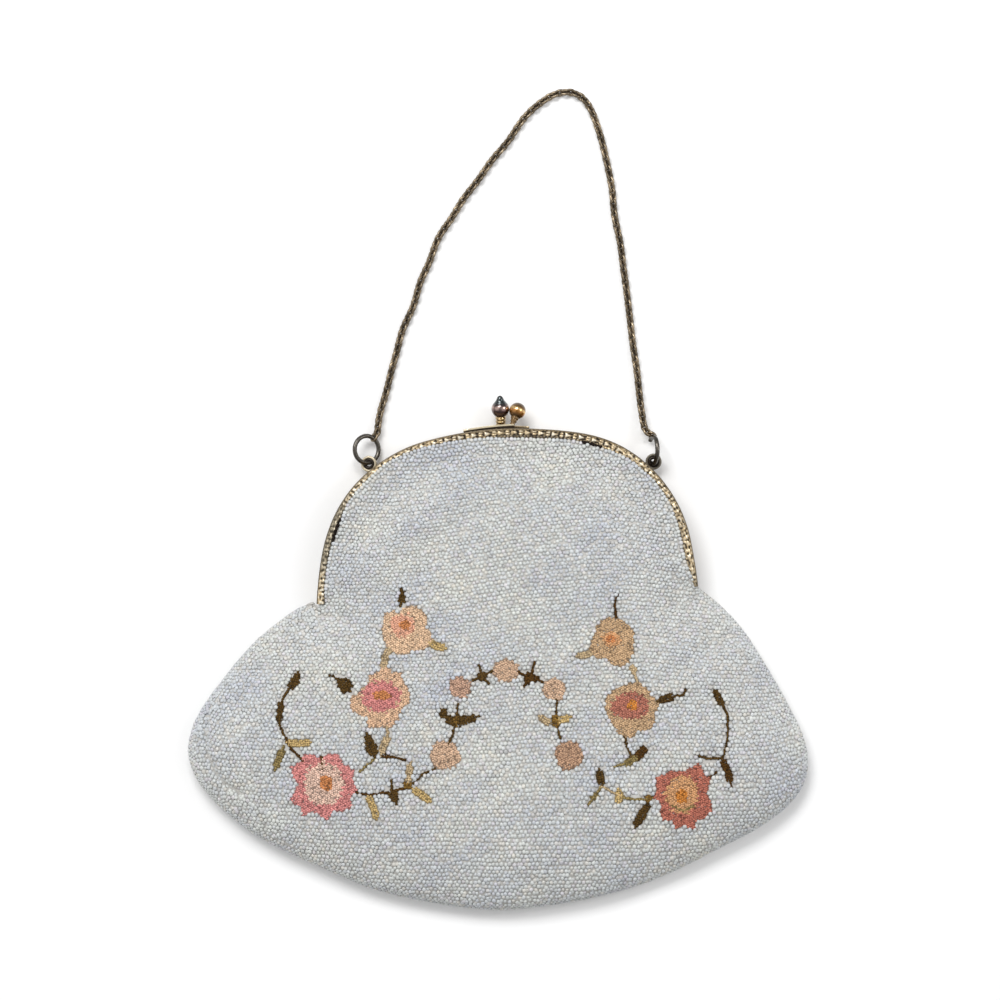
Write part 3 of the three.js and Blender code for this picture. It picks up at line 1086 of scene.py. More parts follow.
    def rim_steps(self, pitch: float) -> tuple[Array, Array]:
        """Walks round the outline.

        Args:
            pitch: the length of a step.

        Returns:
            The places, and the inward direction at each.
        """
        loop = np.vstack([self.rim, self.rim[:1]])
        length = lengths_along(loop)[-1]
        lengths = np.arange(0, length, length / round(length / pitch))
        places = at_lengths(loop, lengths)
        ahead, behind = at_lengths(loop, (lengths + 1) % length), at_lengths(loop, (lengths - 1) % length)
        tangent = unit(ahead - behind)
        return places, np.stack([-tangent[:, 1], tangent[:, 0]], axis=1)

    def area(self) -> float:
        """Gives the outline's flat area in square millimetres."""
        x, y = self.rim.T
        return 0.5 * abs(np.sum(x * np.roll(y, -1) - y * np.roll(x, -1)))


@dataclass(frozen=True)
class Zone:
    """An oval part of a flower: its half-sizes, its shift from the flower's centre and its thread."""

    reach: Pair
    shift: Pair
    thread: Thread

    def share(self, dx: Array, dy: Array) -> Array:
        """Gives 1 on the oval's edge and less inside it, for places measured from the flower's centre."""
        return np.hypot((dx - self.shift[0]) / self.reach[0], (dy - self.shift[1]) / self.reach[1])


@dataclass(frozen=True)
class Blossom:
    """A chain-stitched flower: its middle and the corners of its outline are photograph pixels."""

    centre_px: Pair
    petals: Thread
    outline_px: tuple[Pair, ...]
    ring: Zone | None = None
    heart: Zone | None = None
    clear: float = 0.2
    GRAIN = 0.45
    RAGGED = Ripple(17, 0.9, 2.6)
    RAGGED_BY = 0.11

    @property
    def centre(self) -> Array:
        """The flower's middle on the bag."""
        return PHOTO.place([self.centre_px])[0]

    def reach(self, angle: Array) -> Array:
        """Gives how far the petals reach.

        Args:
            angle: directions from the flower's middle.

        Returns:
            The reach in each.
        """
        corners = PHOTO.place(self.outline_px) - self.centre
        turn = np.arctan2(corners[:, 1], corners[:, 0])
        return np.interp(angle, turn, np.hypot(*corners.T), period=2 * np.pi)

    def covers(self, x: Array, y: Array, spare: float = 0.0) -> Array:
        """Tells which places the flower holds clear of beads, or lie within a spare distance of those."""
        dx, dy = x - self.centre[0], y - self.centre[1]
        return np.hypot(dx, dy) < self.reach(np.arctan2(dy, dx)) + self.clear + spare

    def stitches(self, row: float, pitch: float, spare: float) -> Stitches:
        """Lays staggered rows of stitches across the flower.

        Args:
            row: the step between rows.
            pitch: the step along a row.
            spare: how far the stitches go past the outline.

        Returns:
            Places, directions and threads.
        """
        far = float(np.hypot(*(PHOTO.place(self.outline_px) - self.centre).T).max()) + 1
        dx, dy = np.meshgrid(np.arange(-far, far, pitch), np.arange(-far, far, row))
        dx = dx + (np.arange(len(dx)) % 2 * pitch / 2)[:, None]
        way = np.array([math.cos(self.GRAIN), math.sin(self.GRAIN)])
        dx, dy = dx * way[0] - dy * way[1], dx * way[1] + dy * way[0]
        inside = np.hypot(dx, dy) < self.reach(np.arctan2(dy, dx)) + spare
        spots = np.stack([dx[inside], dy[inside]], axis=1)
        ways = np.tile(way, (len(spots), 1))
        return spots + self.centre, ways, [self._thread(*spot) for spot in spots]

    def _thread(self, dx: float, dy: float) -> Thread:
        """Chooses the thread at a place.

        Args:
            dx: how far it lies to the right of the flower's middle.
            dy: how far it lies above it.

        Returns:
            The thread.
        """
        ragged = self.RAGGED_BY * float(self.RAGGED.at(np.float64(dx), np.float64(dy)))
        for zone in (self.heart, self.ring):
            if zone and zone.share(dx, dy) + ragged < 1:
                return zone.thread
        return self.petals


@dataclass(frozen=True)
class Sprig:
    """A stem or leaf along a path of photograph pixels, with half-widths at its start, middle and end."""

    thread: Thread
    half_widths: Triple
    path_px: tuple[Pair, ...]
    clear: float = 0.1
    rounded_from: float = 4.2
    rounding: int = 8
    thinnest: float = 0.28
    fullness: float = 0.18

    def spine(self) -> tuple[Array, Array]:
        """Follows the middle of the sprig.

        Returns:
            The places along it and the half-width at each.
        """
        path = smooth_path(PHOTO.place(self.path_px), 10)
        run = lengths_along(path)
        share = run / run[-1]
        start, middle, end = self.half_widths
        width = start * (1 - share) * (1 - 2 * share) + 4 * middle * share * (1 - share)
        width = width + end * share * (2 * share - 1)
        if run[-1] > self.rounded_from:
            width = width * np.sqrt(1 - np.abs(2 * share - 1) ** self.rounding)
        return path, np.maximum(width, self.thinnest) + self.fullness

    def covers(self, x: Array, y: Array, spare: float = 0.0) -> Array:
        """Tells which places the sprig holds clear of beads.

        Args:
            x: places across the bag.
            y: places along the bag.
            spare: how far past the sprig they may lie.

        Returns:
            A truth value for each.
        """
        path, width = self.spine()
        gaps = np.hypot(x[:, None] - path[:, 0], y[:, None] - path[:, 1])
        return (gaps < width + self.clear + spare).any(1)

    def stitches(self, row: float, pitch: float, spare: float) -> Stitches:
        """Lays rows of stitches along the sprig.

        Args:
            row: the step between rows.
            pitch: the step along a row.
            spare: how far the outer rows go past the half-width.

        Returns:
            Places, directions and threads.
        """
        path, width = self.spine()
        length = lengths_along(path)[-1]
        lengths = np.linspace(0, length, max(2, round(length / pitch) + 1))
        spots = at_lengths(path, lengths)
        wide = np.interp(lengths, lengths_along(path), width)
        ways = unit(np.gradient(spots, axis=0))
        across = np.stack([-ways[:, 1], ways[:, 0]], axis=1)
        half_rows = math.ceil(max(width) / row)
        places, directions = [], []
        for k in range(-half_rows, half_rows + 1):
            keep = np.abs(k * row) <= wide - 0.5 * row + spare if k else wide > 0
            places.append((spots + across * k * row)[keep])
            directions.append(ways[keep])
        places = np.vstack(places)
        return places, np.vstack(directions), [self.thread] * len(places)


BLOSSOMS = (
    Blossom(
        (406, 630), Thread.PEACH,
        ((405, 607), (413, 606), (425, 613), (426, 627), (433, 640), (425, 648), (412, 651), (400, 654),
         (391, 651), (386, 644), (383, 630), (384, 620), (386, 612), (394, 611), (399, 614)),
        Zone((3.8, 3.6), (-1.2, 1.5), Thread.SALMON), Zone((1.9, 1.5), (-0.2, 1.6), Thread.ORANGE),
    ),
    Blossom(
        (381, 697), Thread.APRICOT,
        ((384, 666), (392, 673), (402, 673), (403, 683), (409, 688), (410, 699), (405, 706), (400, 712),
         (396, 722), (391, 727), (383, 725), (369, 727), (367, 717), (358, 711), (352, 711), (351, 696),
         (360, 692), (368, 684), (371, 676), (379, 671)),
        Zone((6.3, 4.9), (0.0, 0.3), Thread.PINK), Zone((2.9, 1.5), (0.3, 0.7), Thread.ORANGE),
    ),
    Blossom(
        (323, 787), Thread.ROSE,
        ((304, 756), (311, 753), (321, 758), (336, 753), (343, 764), (354, 769), (352, 778), (357, 790),
         (350, 798), (352, 806), (342, 811), (333, 810), (327, 820), (319, 813), (312, 812), (303, 817),
         (301, 807), (290, 799), (296, 790), (300, 784), (294, 778), (291, 767), (301, 762)),
        Zone((6.4, 7.0), (0.3, 1.0), Thread.CREAM), Zone((2.1, 2.6), (1.0, 1.3), Thread.ORANGE),
    ),
    Blossom(
        (612, 641), Thread.HONEY,
        ((602, 621), (613, 618), (623, 622), (631, 628), (633, 642), (631, 657), (627, 662), (617, 666),
         (611, 663), (607, 656), (598, 658), (590, 652), (593, 640), (595, 631)),
        Zone((2.9, 2.4), (-0.3, 0.6), Thread.WHEAT), Zone((1.6, 1.2), (-0.3, 0.6), Thread.ORANGE),
    ),
    Blossom(
        (632, 709), Thread.HONEY,
        ((605, 699), (616, 688), (625, 686), (637, 682), (646, 688), (652, 697), (660, 704), (654, 711),
         (654, 723), (648, 729), (637, 730), (632, 737), (623, 736), (617, 729), (609, 719), (606, 709)),
        Zone((6.0, 4.3), (-0.8, 1.0), Thread.MAUVE), Zone((1.8, 1.6), (0.0, 1.3), Thread.AMBER),
    ),
    Blossom(
        (682, 798), Thread.CORAL,
        ((655, 778), (664, 775), (670, 769), (677, 772), (688, 770), (699, 764), (704, 775), (711, 778),
         (708, 786), (706, 793), (710, 802), (712, 810), (704, 820), (698, 830), (694, 822), (683, 825),
         (675, 831), (672, 821), (663, 820), (662, 803), (654, 797), (657, 789)),
        Zone((5.3, 6.1), (0.0, 1.2), Thread.WHEAT), Zone((2.0, 2.3), (-0.1, 0.6), Thread.AMBER),
    ),
    Blossom(
        (506, 670), Thread.BUFF,
        ((493, 671), (499, 662), (508, 660), (518, 666), (519, 674), (510, 680), (498, 679)),
    ),
    Blossom(
        (460, 687), Thread.BLUSH,
        ((450, 684), (457, 677), (465, 678), (471, 686), (467, 695), (456, 697)),
    ),
    Blossom(
        (554, 689), Thread.BUFF,
        ((543, 688), (549, 679), (559, 680), (565, 688), (561, 698), (549, 698)),
    ),
    Blossom(
        (445, 754), Thread.BUFF,
        ((431, 752), (436, 743), (448, 741), (456, 747), (462, 755), (452, 766), (436, 766)),
    ),
    Blossom(
        (569, 755), Thread.BISQUE,
        ((556, 754), (561, 743), (573, 741), (581, 749), (582, 760), (572, 768), (559, 765)),
    ),
)

SPRIGS = (
    Sprig(Thread.DARK, (0.5, 0.95, 0.6), ((401, 588), (402.5, 596), (401, 606))),
    Sprig(Thread.GOLD, (1.0, 1.35, 1.1), ((429, 642), (437, 646), (446, 648))),
    Sprig(Thread.TAN, (1.2, 1.1, 1.2), ((390, 648), (385, 659), (384, 668))),
    Sprig(Thread.DARK, (0.9, 1.5, 0.6), ((298, 672), (296, 680), (289, 689))),
    Sprig(Thread.DARK, (0.6, 0.85, 0.5), ((289, 689), (282.5, 700), (280, 712), (280.5, 726), (286, 738))),
    Sprig(Thread.GOLD, (0.9, 1.4, 0.9), ((287, 742), (298, 743), (311, 742))),
    Sprig(Thread.OLIVE, (0.6, 1.1, 0.5), ((284, 746), (280, 757), (275, 770))),
    Sprig(Thread.BROWN, (0.7, 0.8, 0.7), ((286, 738), (291, 747), (303, 760))),
    Sprig(Thread.DARK, (0.3, 0.35, 0.7), ((330, 675), (338, 679))),
    Sprig(Thread.DARK, (0.8, 2.2, 1.1), ((338, 679), (344, 684), (350, 691))),
    Sprig(Thread.BROWN, (0.2, 0.2, 0.2), ((321.5, 757), (322.5, 769))),
    Sprig(Thread.DARK, (0.5, 1.7, 1.2), ((367, 733), (371, 746), (375, 756))),
    Sprig(Thread.TAN, (0.5, 0.9, 0.8), ((387, 727), (387.5, 737), (383, 748), (381, 756))),
    Sprig(Thread.BROWN, (0.9, 0.7, 0.35), ((383, 756), (394, 757), (405, 759.5))),
    Sprig(Thread.OLIVE, (0.4, 0.4, 0.3), ((375, 759), (367, 765), (360, 771))),
    Sprig(Thread.BROWN, (0.45, 0.45, 0.6), ((357, 792), (368, 794.5), (380, 793), (388, 792))),
    Sprig(Thread.DARK, (0.3, 0.35, 0.6), ((391.5, 780), (391.5, 789))),
    Sprig(Thread.DARK, (1.6, 1.5, 0.3), ((391, 790), (394, 796), (397, 804))),
    Sprig(Thread.GOLD, (0.8, 1.4, 0.9), ((368, 795), (373, 806), (377, 819))),
    Sprig(Thread.BROWN, (0.4, 0.4, 0.6), ((394, 790), (401, 789), (407, 787))),
    Sprig(Thread.OCHRE, (1.2, 1.3, 1.2), ((405, 785), (411, 785))),
    Sprig(Thread.TAN, (0.8, 1.05, 0.6), ((408.5, 782), (409, 772), (411, 761))),
    Sprig(Thread.GOLD, (0.9, 1.4, 0.9), ((413, 788), (421, 794), (431, 801))),
    Sprig(Thread.DARK, (0.35, 0.3, 0.3), ((414, 783), (423, 774), (435, 768))),
    Sprig(Thread.DARK, (0.35, 0.35, 0.35), ((449, 743), (455, 728))),
    Sprig(Thread.DARK, (1.7, 1.5, 0.4), ((454, 720.5), (465, 719.5), (479, 716))),
    Sprig(Thread.DARK, (1.4, 1.6, 1.5), ((447, 719), (456, 721))),
    Sprig(Thread.OCHRE, (0.8, 1.0, 0.4), ((456.5, 717), (456.5, 726))),
    Sprig(Thread.DARK, (0.9, 1.1, 0.9), ((443.4, 709.5), (443.5, 716.5))),
    Sprig(Thread.DARK, (0.35, 0.35, 0.35), ((458, 704), (457, 714))),
    Sprig(Thread.DARK, (1.1, 0.7, 0.3), ((482, 676), (479, 665))),
    Sprig(Thread.DARK, (1.1, 0.8, 0.4), ((482, 676), (473, 680))),
    Sprig(Thread.DARK, (1.0, 0.6, 0.3), ((482, 676), (492, 671))),
    Sprig(Thread.DARK, (1.0, 0.8, 0.5), ((482, 676), (489, 683))),
    Sprig(Thread.BROWN, (1.2, 0.6, 0.3), ((531, 677), (534.5, 662.5))),
    Sprig(Thread.BROWN, (1.2, 0.8, 0.5), ((531, 677), (519, 672))),
    Sprig(Thread.BROWN, (1.3, 0.9, 0.5), ((531, 677), (542, 681))),
    Sprig(Thread.BROWN, (1.2, 0.9, 0.6), ((531, 677), (524, 686))),
    Sprig(Thread.DARK, (0.4, 0.4, 0.4), ((556.5, 700), (556.5, 714))),
    Sprig(Thread.TAN, (0.5, 1.4, 1.2), ((539, 716), (546, 721), (551, 723))),
    Sprig(Thread.OCHRE, (1.1, 1.2, 0.5), ((555, 716), (556, 727))),
    Sprig(Thread.GOLD, (1.3, 1.3, 0.4), ((557, 720), (564, 719), (572, 716))),
    Sprig(Thread.DARK, (0.4, 0.35, 0.3), ((557.5, 727), (560, 737))),
    Sprig(Thread.BROWN, (0.3, 0.5, 0.6), ((618, 595), (615, 602), (616, 617))),
    Sprig(Thread.TAN, (0.7, 1.1, 1.0), ((576, 656), (583, 655), (592, 653))),
    Sprig(Thread.TAN, (0.9, 1.2, 0.9), ((631, 667), (635, 671))),
    Sprig(Thread.TAN, (0.5, 0.5, 0.6), ((634, 672), (637, 682))),
    Sprig(Thread.DARK, (0.6, 1.3, 0.5), ((657, 701), (666, 698), (675, 696))),
    Sprig(Thread.DARK, (0.35, 0.3, 0.3), ((675, 696), (683, 694), (685, 690))),
    Sprig(Thread.DARK, (0.7, 1.3, 0.6), ((714, 690), (718, 697), (723, 706))),
    Sprig(Thread.DARK, (0.45, 0.4, 0.35), ((723, 706), (727, 714), (727.5, 726), (727, 740), (723, 756))),
    Sprig(Thread.DARK, (0.5, 0.8, 0.6), ((697, 755), (708, 758), (721, 758))),
    Sprig(Thread.BROWN, (0.9, 1.2, 0.4), ((722, 759), (726, 768), (729, 776), (731, 787))),
    Sprig(Thread.BROWN, (0.4, 0.4, 0.4), ((716, 772), (709, 777))),
    Sprig(Thread.OLIVE, (0.3, 0.35, 0.3), ((673, 806), (683, 810), (693, 806))),
    Sprig(Thread.DARK, (0.35, 0.35, 0.35), ((624, 736), (627, 746), (631, 756))),
    Sprig(Thread.BROWN, (1.1, 1.5, 1.2), ((645, 748), (636, 757))),
    Sprig(Thread.OLIVE, (1.3, 0.9, 0.3), ((637, 756), (627, 763), (613, 766))),
    Sprig(Thread.DARK, (0.5, 1.3, 1.0), ((599, 769), (600, 777), (602, 785))),
    Sprig(Thread.OLIVE, (0.5, 0.85, 0.4), ((600, 787), (595, 795), (588, 804))),
    Sprig(Thread.TAN, (0.5, 0.5, 0.7), ((602, 786), (611, 791), (619, 795))),
    Sprig(Thread.GOLD, (0.5, 1.4, 0.5), ((618, 788), (619, 796), (618, 803))),
    Sprig(Thread.OLIVE, (0.4, 0.35, 0.5), ((622, 797), (633, 799), (646, 799))),
    Sprig(Thread.OCHRE, (0.9, 1.1, 0.8), ((646, 799), (652, 797))),
    Sprig(Thread.DARK, (0.7, 1.5, 0.3), ((648, 803), (642, 814), (634, 829))),
)

# Dark stitches of painted shade in the gaps beside the frame, where no beads lie
SLITS = (
    Sprig(Thread.SHADE, (0.2, 0.4, 0.2), ((340, 520), (335, 532), (333, 541))),
    Sprig(Thread.SHADE, (0.2, 0.3, 0.2), ((583, 442), (592, 444), (601, 447))),
)

MOTIFS = (*BLOSSOMS, *SPRIGS, *SLITS)


@dataclass(frozen=True)
class StitchLayer:
    """One layer of stitches: its steps, its half-sizes, its depth under the cloth's face and its shade."""

    name: str
    row: float
    pitch: float
    spare: float
    half_sizes: Triple
    sides: int
    depth: float
    shade: float
    unevenness: float
    specks: float


@dataclass
class Embroidery:
    """Silk flowers, stems and leaves of the front panel, sewn over an underlay of the same threads made
    darker as painted shade in the gaps between the stitches.
    """

    surface: PanelSurface
    layers: tuple[StitchLayer, ...] = (
        # The underlay's half lightness is painted shade that shows in the gaps between the stitches
        StitchLayer(
            "embroidery_underlay", row=0.86, pitch=0.86, spare=0.3, half_sizes=(0.66, 0.6, 0.2), sides=4,
            depth=0.3, shade=0.5, unevenness=0.15, specks=0.0,
        ),
        StitchLayer(
            "embroidery", row=0.64, pitch=0.72, spare=-0.05, half_sizes=(0.41, 0.39, 0.28), sides=6,
            depth=0.2, shade=0.9, unevenness=0.13, specks=0.05,
        ),
    )
    # Lightness of stitches darkened at random: a few darker threads, and painted shade specks among the
    # stitches
    speck: float = 0.42
    over: float = 0.07
    astray: float = 0.1
    leaning: float = 0.12
    turned: float = 0.5
    unlevel: float = 0.04
    size_range: Pair = (0.85, 1.15)
    lightness_range: Pair = (0.55, 1.5)
    seed: int = 21

    def covers(self, x: Array, y: Array, spare: float = 0.0) -> Array:
        """Tells which places hold thread instead of beads.

        Args:
            x: places across the bag.
            y: places along the bag.
            spare: how far past the thread they may lie.

        Returns:
            A truth value for each.
        """
        held = np.zeros(len(x), bool)
        for motif in MOTIFS:
            held |= motif.covers(x, y, spare)
        return held

    def build(self, dressing: Dressing) -> list[bpy.types.Object]:
        """Makes each layer as one piece."""
        return [dressing.put_on(self._layer(layer).make(layer.name)) for layer in self.layers]

    def _layer(self, layer: StitchLayer) -> Stock:
        """Lays one layer's stitches, each a little out of line and of its own lightness.

        Args:
            layer: the layer's sizes.

        Returns:
            The stitches.
        """
        rng = np.random.default_rng(self.seed)
        laid = [motif.stitches(layer.row, layer.pitch, layer.spare) for motif in MOTIFS]
        places, ways = (np.vstack([part[k] for part in laid]) for k in range(2))
        colours = np.array([linear(thread.value) for part in laid for thread in part[2]])
        counts = [len(part[0]) for part in laid]
        over = np.repeat([self.over * isinstance(motif, Sprig) for motif in MOTIFS], counts)
        count = len(places)
        places = places + rng.normal(0, self.astray, (count, 2))
        x, y = places.T
        normals = self.surface.normals(x, y)
        leaning = unit(normals + rng.normal(0, self.leaning, (count, 3)))
        along = np.column_stack([ways + rng.normal(0, self.turned, (count, 2)), np.zeros(count)])
        sizes = np.array(layer.half_sizes) * rng.uniform(*self.size_range, (count, 1))
        axes = frames_from(leaning, along) * sizes[:, None, :]
        centres = np.column_stack([places, self.surface.height(x, y)]) - normals * layer.depth
        centres += normals * (rng.normal(0, self.unlevel, count) + over)[:, None]
        lightness = rng.normal(1.0, layer.unevenness, (count, 1)).clip(*self.lightness_range)
        # Some stitches darkened at random: darker threads and painted shade specks
        lightness = np.where(rng.random((count, 1)) < layer.specks, self.speck, lightness)
        stock = Stock()
        stock.add_copies(Shape.pebble(layer.sides), centres, axes, colours * lightness * layer.shade)
        return stock


@dataclass(frozen=True)
class BeadSpread:
    """Spreads of the beads' seeded unevenness, in millimetres or as shares."""

    along: float = 0.15
    across: float = 0.16
    height: float = 0.05
    lean: float = 0.10
    turn: float = 0.14
    size: float = 0.07
    form: float = 0.05
    tint: float = 0.07
    mouth: float = 0.12
    lip: Pair = (0.1, 0.08)
    rim: float = 0.06
    wall: float = 0.04


@dataclass
class BeadField:
    """The seed beads of one panel: rows over the cloth, rows round the sewn edge and a lip at the frame."""

    surface: PanelSurface
    name: str
    pieces: int
    sides: int
    seed: int
    rim_insets: tuple[float, ...]
    wall_rows: tuple[float, ...]
    field_inset: float
    lip: bool
    embroidery: Embroidery | None = None
    spread: BeadSpread = BeadSpread()
    pitch: float = 1.29
    row: float = 1.17
    row_growth: float = 0.16
    growth_over: Pair = (15.0, -45.0)
    lean: float = 0.16
    lean_middle: float = 38.0
    lean_reach: Pair = (52.0, 48.0)
    wave_height: float = 0.3
    wave_lengths: Pair = (18.0, 70.0)
    reach: float = 110.0
    steepest: float = 1.6
    half_sizes: Triple = (0.71, 0.7, 0.46)
    size_range: Pair = (0.82, 1.16)
    height_range: Pair = (-0.1, 0.1)
    sink: float = 0.34
    bead_room: float = 0.9
    edge_room: float = 0.3
    edge_rise: float = 0.3
    rise_reach: float = 1.0
    frame_room: float = 0.3
    frame_reach: float = 4.0
    mouth_room: float = 0.58
    mouth_reach: float = 8.0
    lip_start: float = 1.0
    lip_room: float = 0.56
    back_lift: float = 0.45
    back_lift_over: Pair = (-5.6, -3.6)
    filler_room: float = 0.96
    filler_step: float = 0.4
    filler_depths: Triple = (1.3, 3.6, 0.3)
    filler_clear: float = 0.3
    filler_reach: float = 14.0
    wall_lean: float = 0.2
    tint_range: Pair = (0.75, 1.15)
    ageing: float = 0.03
    age_lengths: Pair = (14.0, 60.0)
    warmth: Triple = (0.02, 0.012, -0.02)
    whitest: float = 0.95
    palette: tuple[tuple[float, Triple], ...] = (
        (0.50, (204, 207, 206)),
        (0.20, (200, 203, 206)),
        (0.16, (207, 205, 200)),
        (0.08, (204, 202, 206)),
        (0.06, (192, 193, 194)),
    )

    def build(self, dressing: Dressing) -> list[bpy.types.Object]:
        """Makes the beads, split across the bag into pieces.

        Args:
            dressing: their finish.

        Returns:
            The pieces from left to right.
        """
        rng = np.random.default_rng(self.seed)
        edgings = [self._rim(rng), self._mouth(rng)] if self.lip else [self._rim(rng)]
        field_beads = self._field(rng, np.vstack([part[0] for part in edgings]))
        parts = [field_beads, *edgings, self._wall(rng)]
        if self.lip:
            parts.append(self._fillers(np.vstack([part[0] for part in parts])))
        centres, normals, along = (np.vstack([part[k] for part in parts]) for k in range(3))
        axes = self._axes(rng, centres, normals, along)
        tints = self._tints(rng, centres)
        made = []
        for k, part in enumerate(np.array_split(np.argsort(centres[:, 0]), self.pieces)):
            stock = Stock()
            stock.add_copies(Shape.pebble(self.sides), centres[part], axes[part], tints[part])
            made.append(dressing.put_on(stock.make(f"{self.name}_{k + 1}")))
        return made

    def _spacing(self, level: Array | float) -> Array | float:
        """Gives the step between rows at a height on the bag; it grows towards the bottom."""
        return self.row + self.row_growth * smoothstep(*self.growth_over, level)

    def _seated(self, x: Array, y: Array) -> tuple[Array, Array]:
        """Gives centres sunk into the cloth at places on it, and the outward directions there."""
        normals = self.surface.normals(x, y)
        return np.column_stack([x, y, self.surface.height(x, y)]) - normals * self.sink, normals

    def _rows(self, rng: Draws) -> tuple[Array, Array]:
        """Lays staggered rows across the whole bag by length along the cloth.

        Args:
            rng: the random draws.

        Returns:
            The beads' x and y.
        """
        surface, xs = self.surface, self.surface.xs
        wave = Ripple(self.seed, *self.wave_lengths)
        run = np.cumsum(np.minimum(np.hypot(1, surface.slope_y), self.steepest), axis=0) * surface.STEP
        run = run - run[np.searchsorted(surface.ys, surface.CENTRE[1])]
        places, levels = [], [-self.reach]
        while levels[-1] < self.reach:
            levels.append(levels[-1] + self._spacing(levels[-1]))
        for k, level in enumerate(levels):
            y = np.array([np.interp(level, run[:, i], surface.ys) for i in range(len(xs))])
            off = (xs / self.lean_reach[0]) ** 2 + ((y - self.lean_middle) / self.lean_reach[1]) ** 2
            y = y + self.lean * xs * np.exp(-off) + self.wave_height * wave.at(xs, y)
            slope = np.gradient(surface.height(xs, y), surface.STEP).clip(-self.steepest, self.steepest)
            along = np.cumsum(np.hypot(1, slope)) * surface.STEP
            along = along - np.interp(0.0, xs, along) + (k % 2) * self.pitch / 2
            steps = np.arange(math.ceil(along[0] / self.pitch), along[-1] / self.pitch) * self.pitch
            steps = steps + rng.normal(0, self.spread.along, len(steps))
            places.append([np.interp(steps, along, xs), np.interp(steps, along, y)])
        x, y = np.hstack(places)
        return x, y + rng.normal(0, self.spread.across, len(y))

    def _field(self, rng: Draws, edging: Array) -> Beads:
        """Keeps the beads that lie clear of frame, edging and thread, and lifts them at the frame.

        Args:
            rng: the random draws.
            edging: centres of the beads along the sewn edge and the mouth.

        Returns:
            The beads.
        """
        surface = self.surface
        x, y = self._rows(rng)
        outside, along = ARCH.locate(x, y)
        left, right = HingedFrame.ends
        free = (along < left - self.frame_room) | (along > right + self.frame_room)
        shown = open_face(along) if self.lip else HingedFrame.face_width + self.frame_room
        edge = -shown - self.mouth_room + rng.normal(0, self.spread.mouth, len(x))
        at_mouth = ~free & (outside > -self.mouth_reach)
        inset = surface.inset(x, y)
        clear = (inset > self.field_inset) & ~(at_mouth & self.lip)
        near_edge = np.stack([x, y], axis=1)[~clear]
        gaps = [np.hypot(*(edging[:, :2] - spot).T).min() for spot in near_edge]
        clear[~clear] = np.array(gaps) > self.bead_room
        keep = ((outside < edge) | free) & clear & surface.within(x, y)
        keep &= (inset > self.edge_room) | (at_mouth & (outside < 0))
        if self.embroidery:
            keep &= ~self.embroidery.covers(x, y)
        x, y, outside, at_mouth = x[keep], y[keep], outside[keep], at_mouth[keep]
        normals = surface.normals(x, y)
        z = surface.height(x, y)
        if not self.lip:
            lift = np.where(at_mouth, smoothstep(*self.back_lift_over, outside), 0.0)
            z = z + (HingedFrame.back_z - z) * lift * self.back_lift
        if self.embroidery:
            z = z + self.edge_rise * self.embroidery.covers(x, y, self.rise_reach)
        centres = np.column_stack([x, y, z]) - normals * self.sink
        centres += normals * rng.normal(0, self.spread.height, (len(x), 1)).clip(*self.height_range)
        return centres, normals, np.tile(ACROSS, (len(x), 1))

    def _edge(self, number: int) -> tuple[Array, Array]:
        """Walks along the sewn edge, leaving out the stretch that the frame holds.

        Args:
            number: the row's number; odd rows are shifted by half a step.

        Returns:
            The places, and the inward direction at each.
        """
        places, inward = self.surface.rim_steps(self.pitch)
        places = places + beside(inward)[:, :2] * (number % 2 * self.pitch / 2)
        outside, along = ARCH.locate(*places.T)
        left, right = HingedFrame.ends
        held = (along > left - self.frame_room) & (along < right + self.frame_room)
        held &= np.abs(outside) < self.frame_reach
        return places[~held], inward[~held]

    def _rim(self, rng: Draws) -> Beads:
        """Lays rows that follow the sewn edge on the panel's outer surface.

        Args:
            rng: the random draws.

        Returns:
            The beads.
        """
        rows = []
        for k, inset in enumerate(self.rim_insets):
            places, inward = self._edge(k)
            spots = places + inward * inset + rng.normal(0, self.spread.rim, places.shape)
            rows.append((*self._seated(*spots.T), beside(inward)))
        return tuple(np.vstack(part) for part in zip(*rows))

    def _wall(self, rng: Draws) -> Beads:
        """Lays rows of beads one above the other along the edge itself.

        Args:
            rng: the random draws.

        Returns:
            The beads.
        """
        rows = []
        for k, height in enumerate(self.wall_rows):
            places, inward = self._edge(k)
            spots = places + inward * self.sink + rng.normal(0, self.spread.wall, places.shape)
            out = np.column_stack([-inward, np.full(len(spots), self.wall_lean * self.surface.way)])
            rows.append((np.column_stack([spots, np.full(len(spots), height)]), unit(out), beside(inward)))
        return tuple(np.vstack(part) for part in zip(*rows))

    def _mouth(self, rng: Draws) -> Beads:
        """Lays one row that follows the frame's open face.

        Args:
            rng: the random draws.

        Returns:
            The beads.
        """
        left, right = HingedFrame.ends
        steps = np.arange(left + self.lip_start, right - self.lip_start, self.pitch)
        steps = steps + rng.normal(0, self.spread.lip[0], len(steps))
        depth = open_face(steps) + self.lip_room + rng.normal(0, self.spread.lip[1], len(steps))
        x, y = ARCH.inside(steps, depth).T
        keep = ~self.embroidery.covers(x, y) if self.embroidery else np.ones(len(x), bool)
        centres, normals = self._seated(x, y)
        return centres[keep], normals[keep], beside(ARCH.stations(steps)[1])[keep]

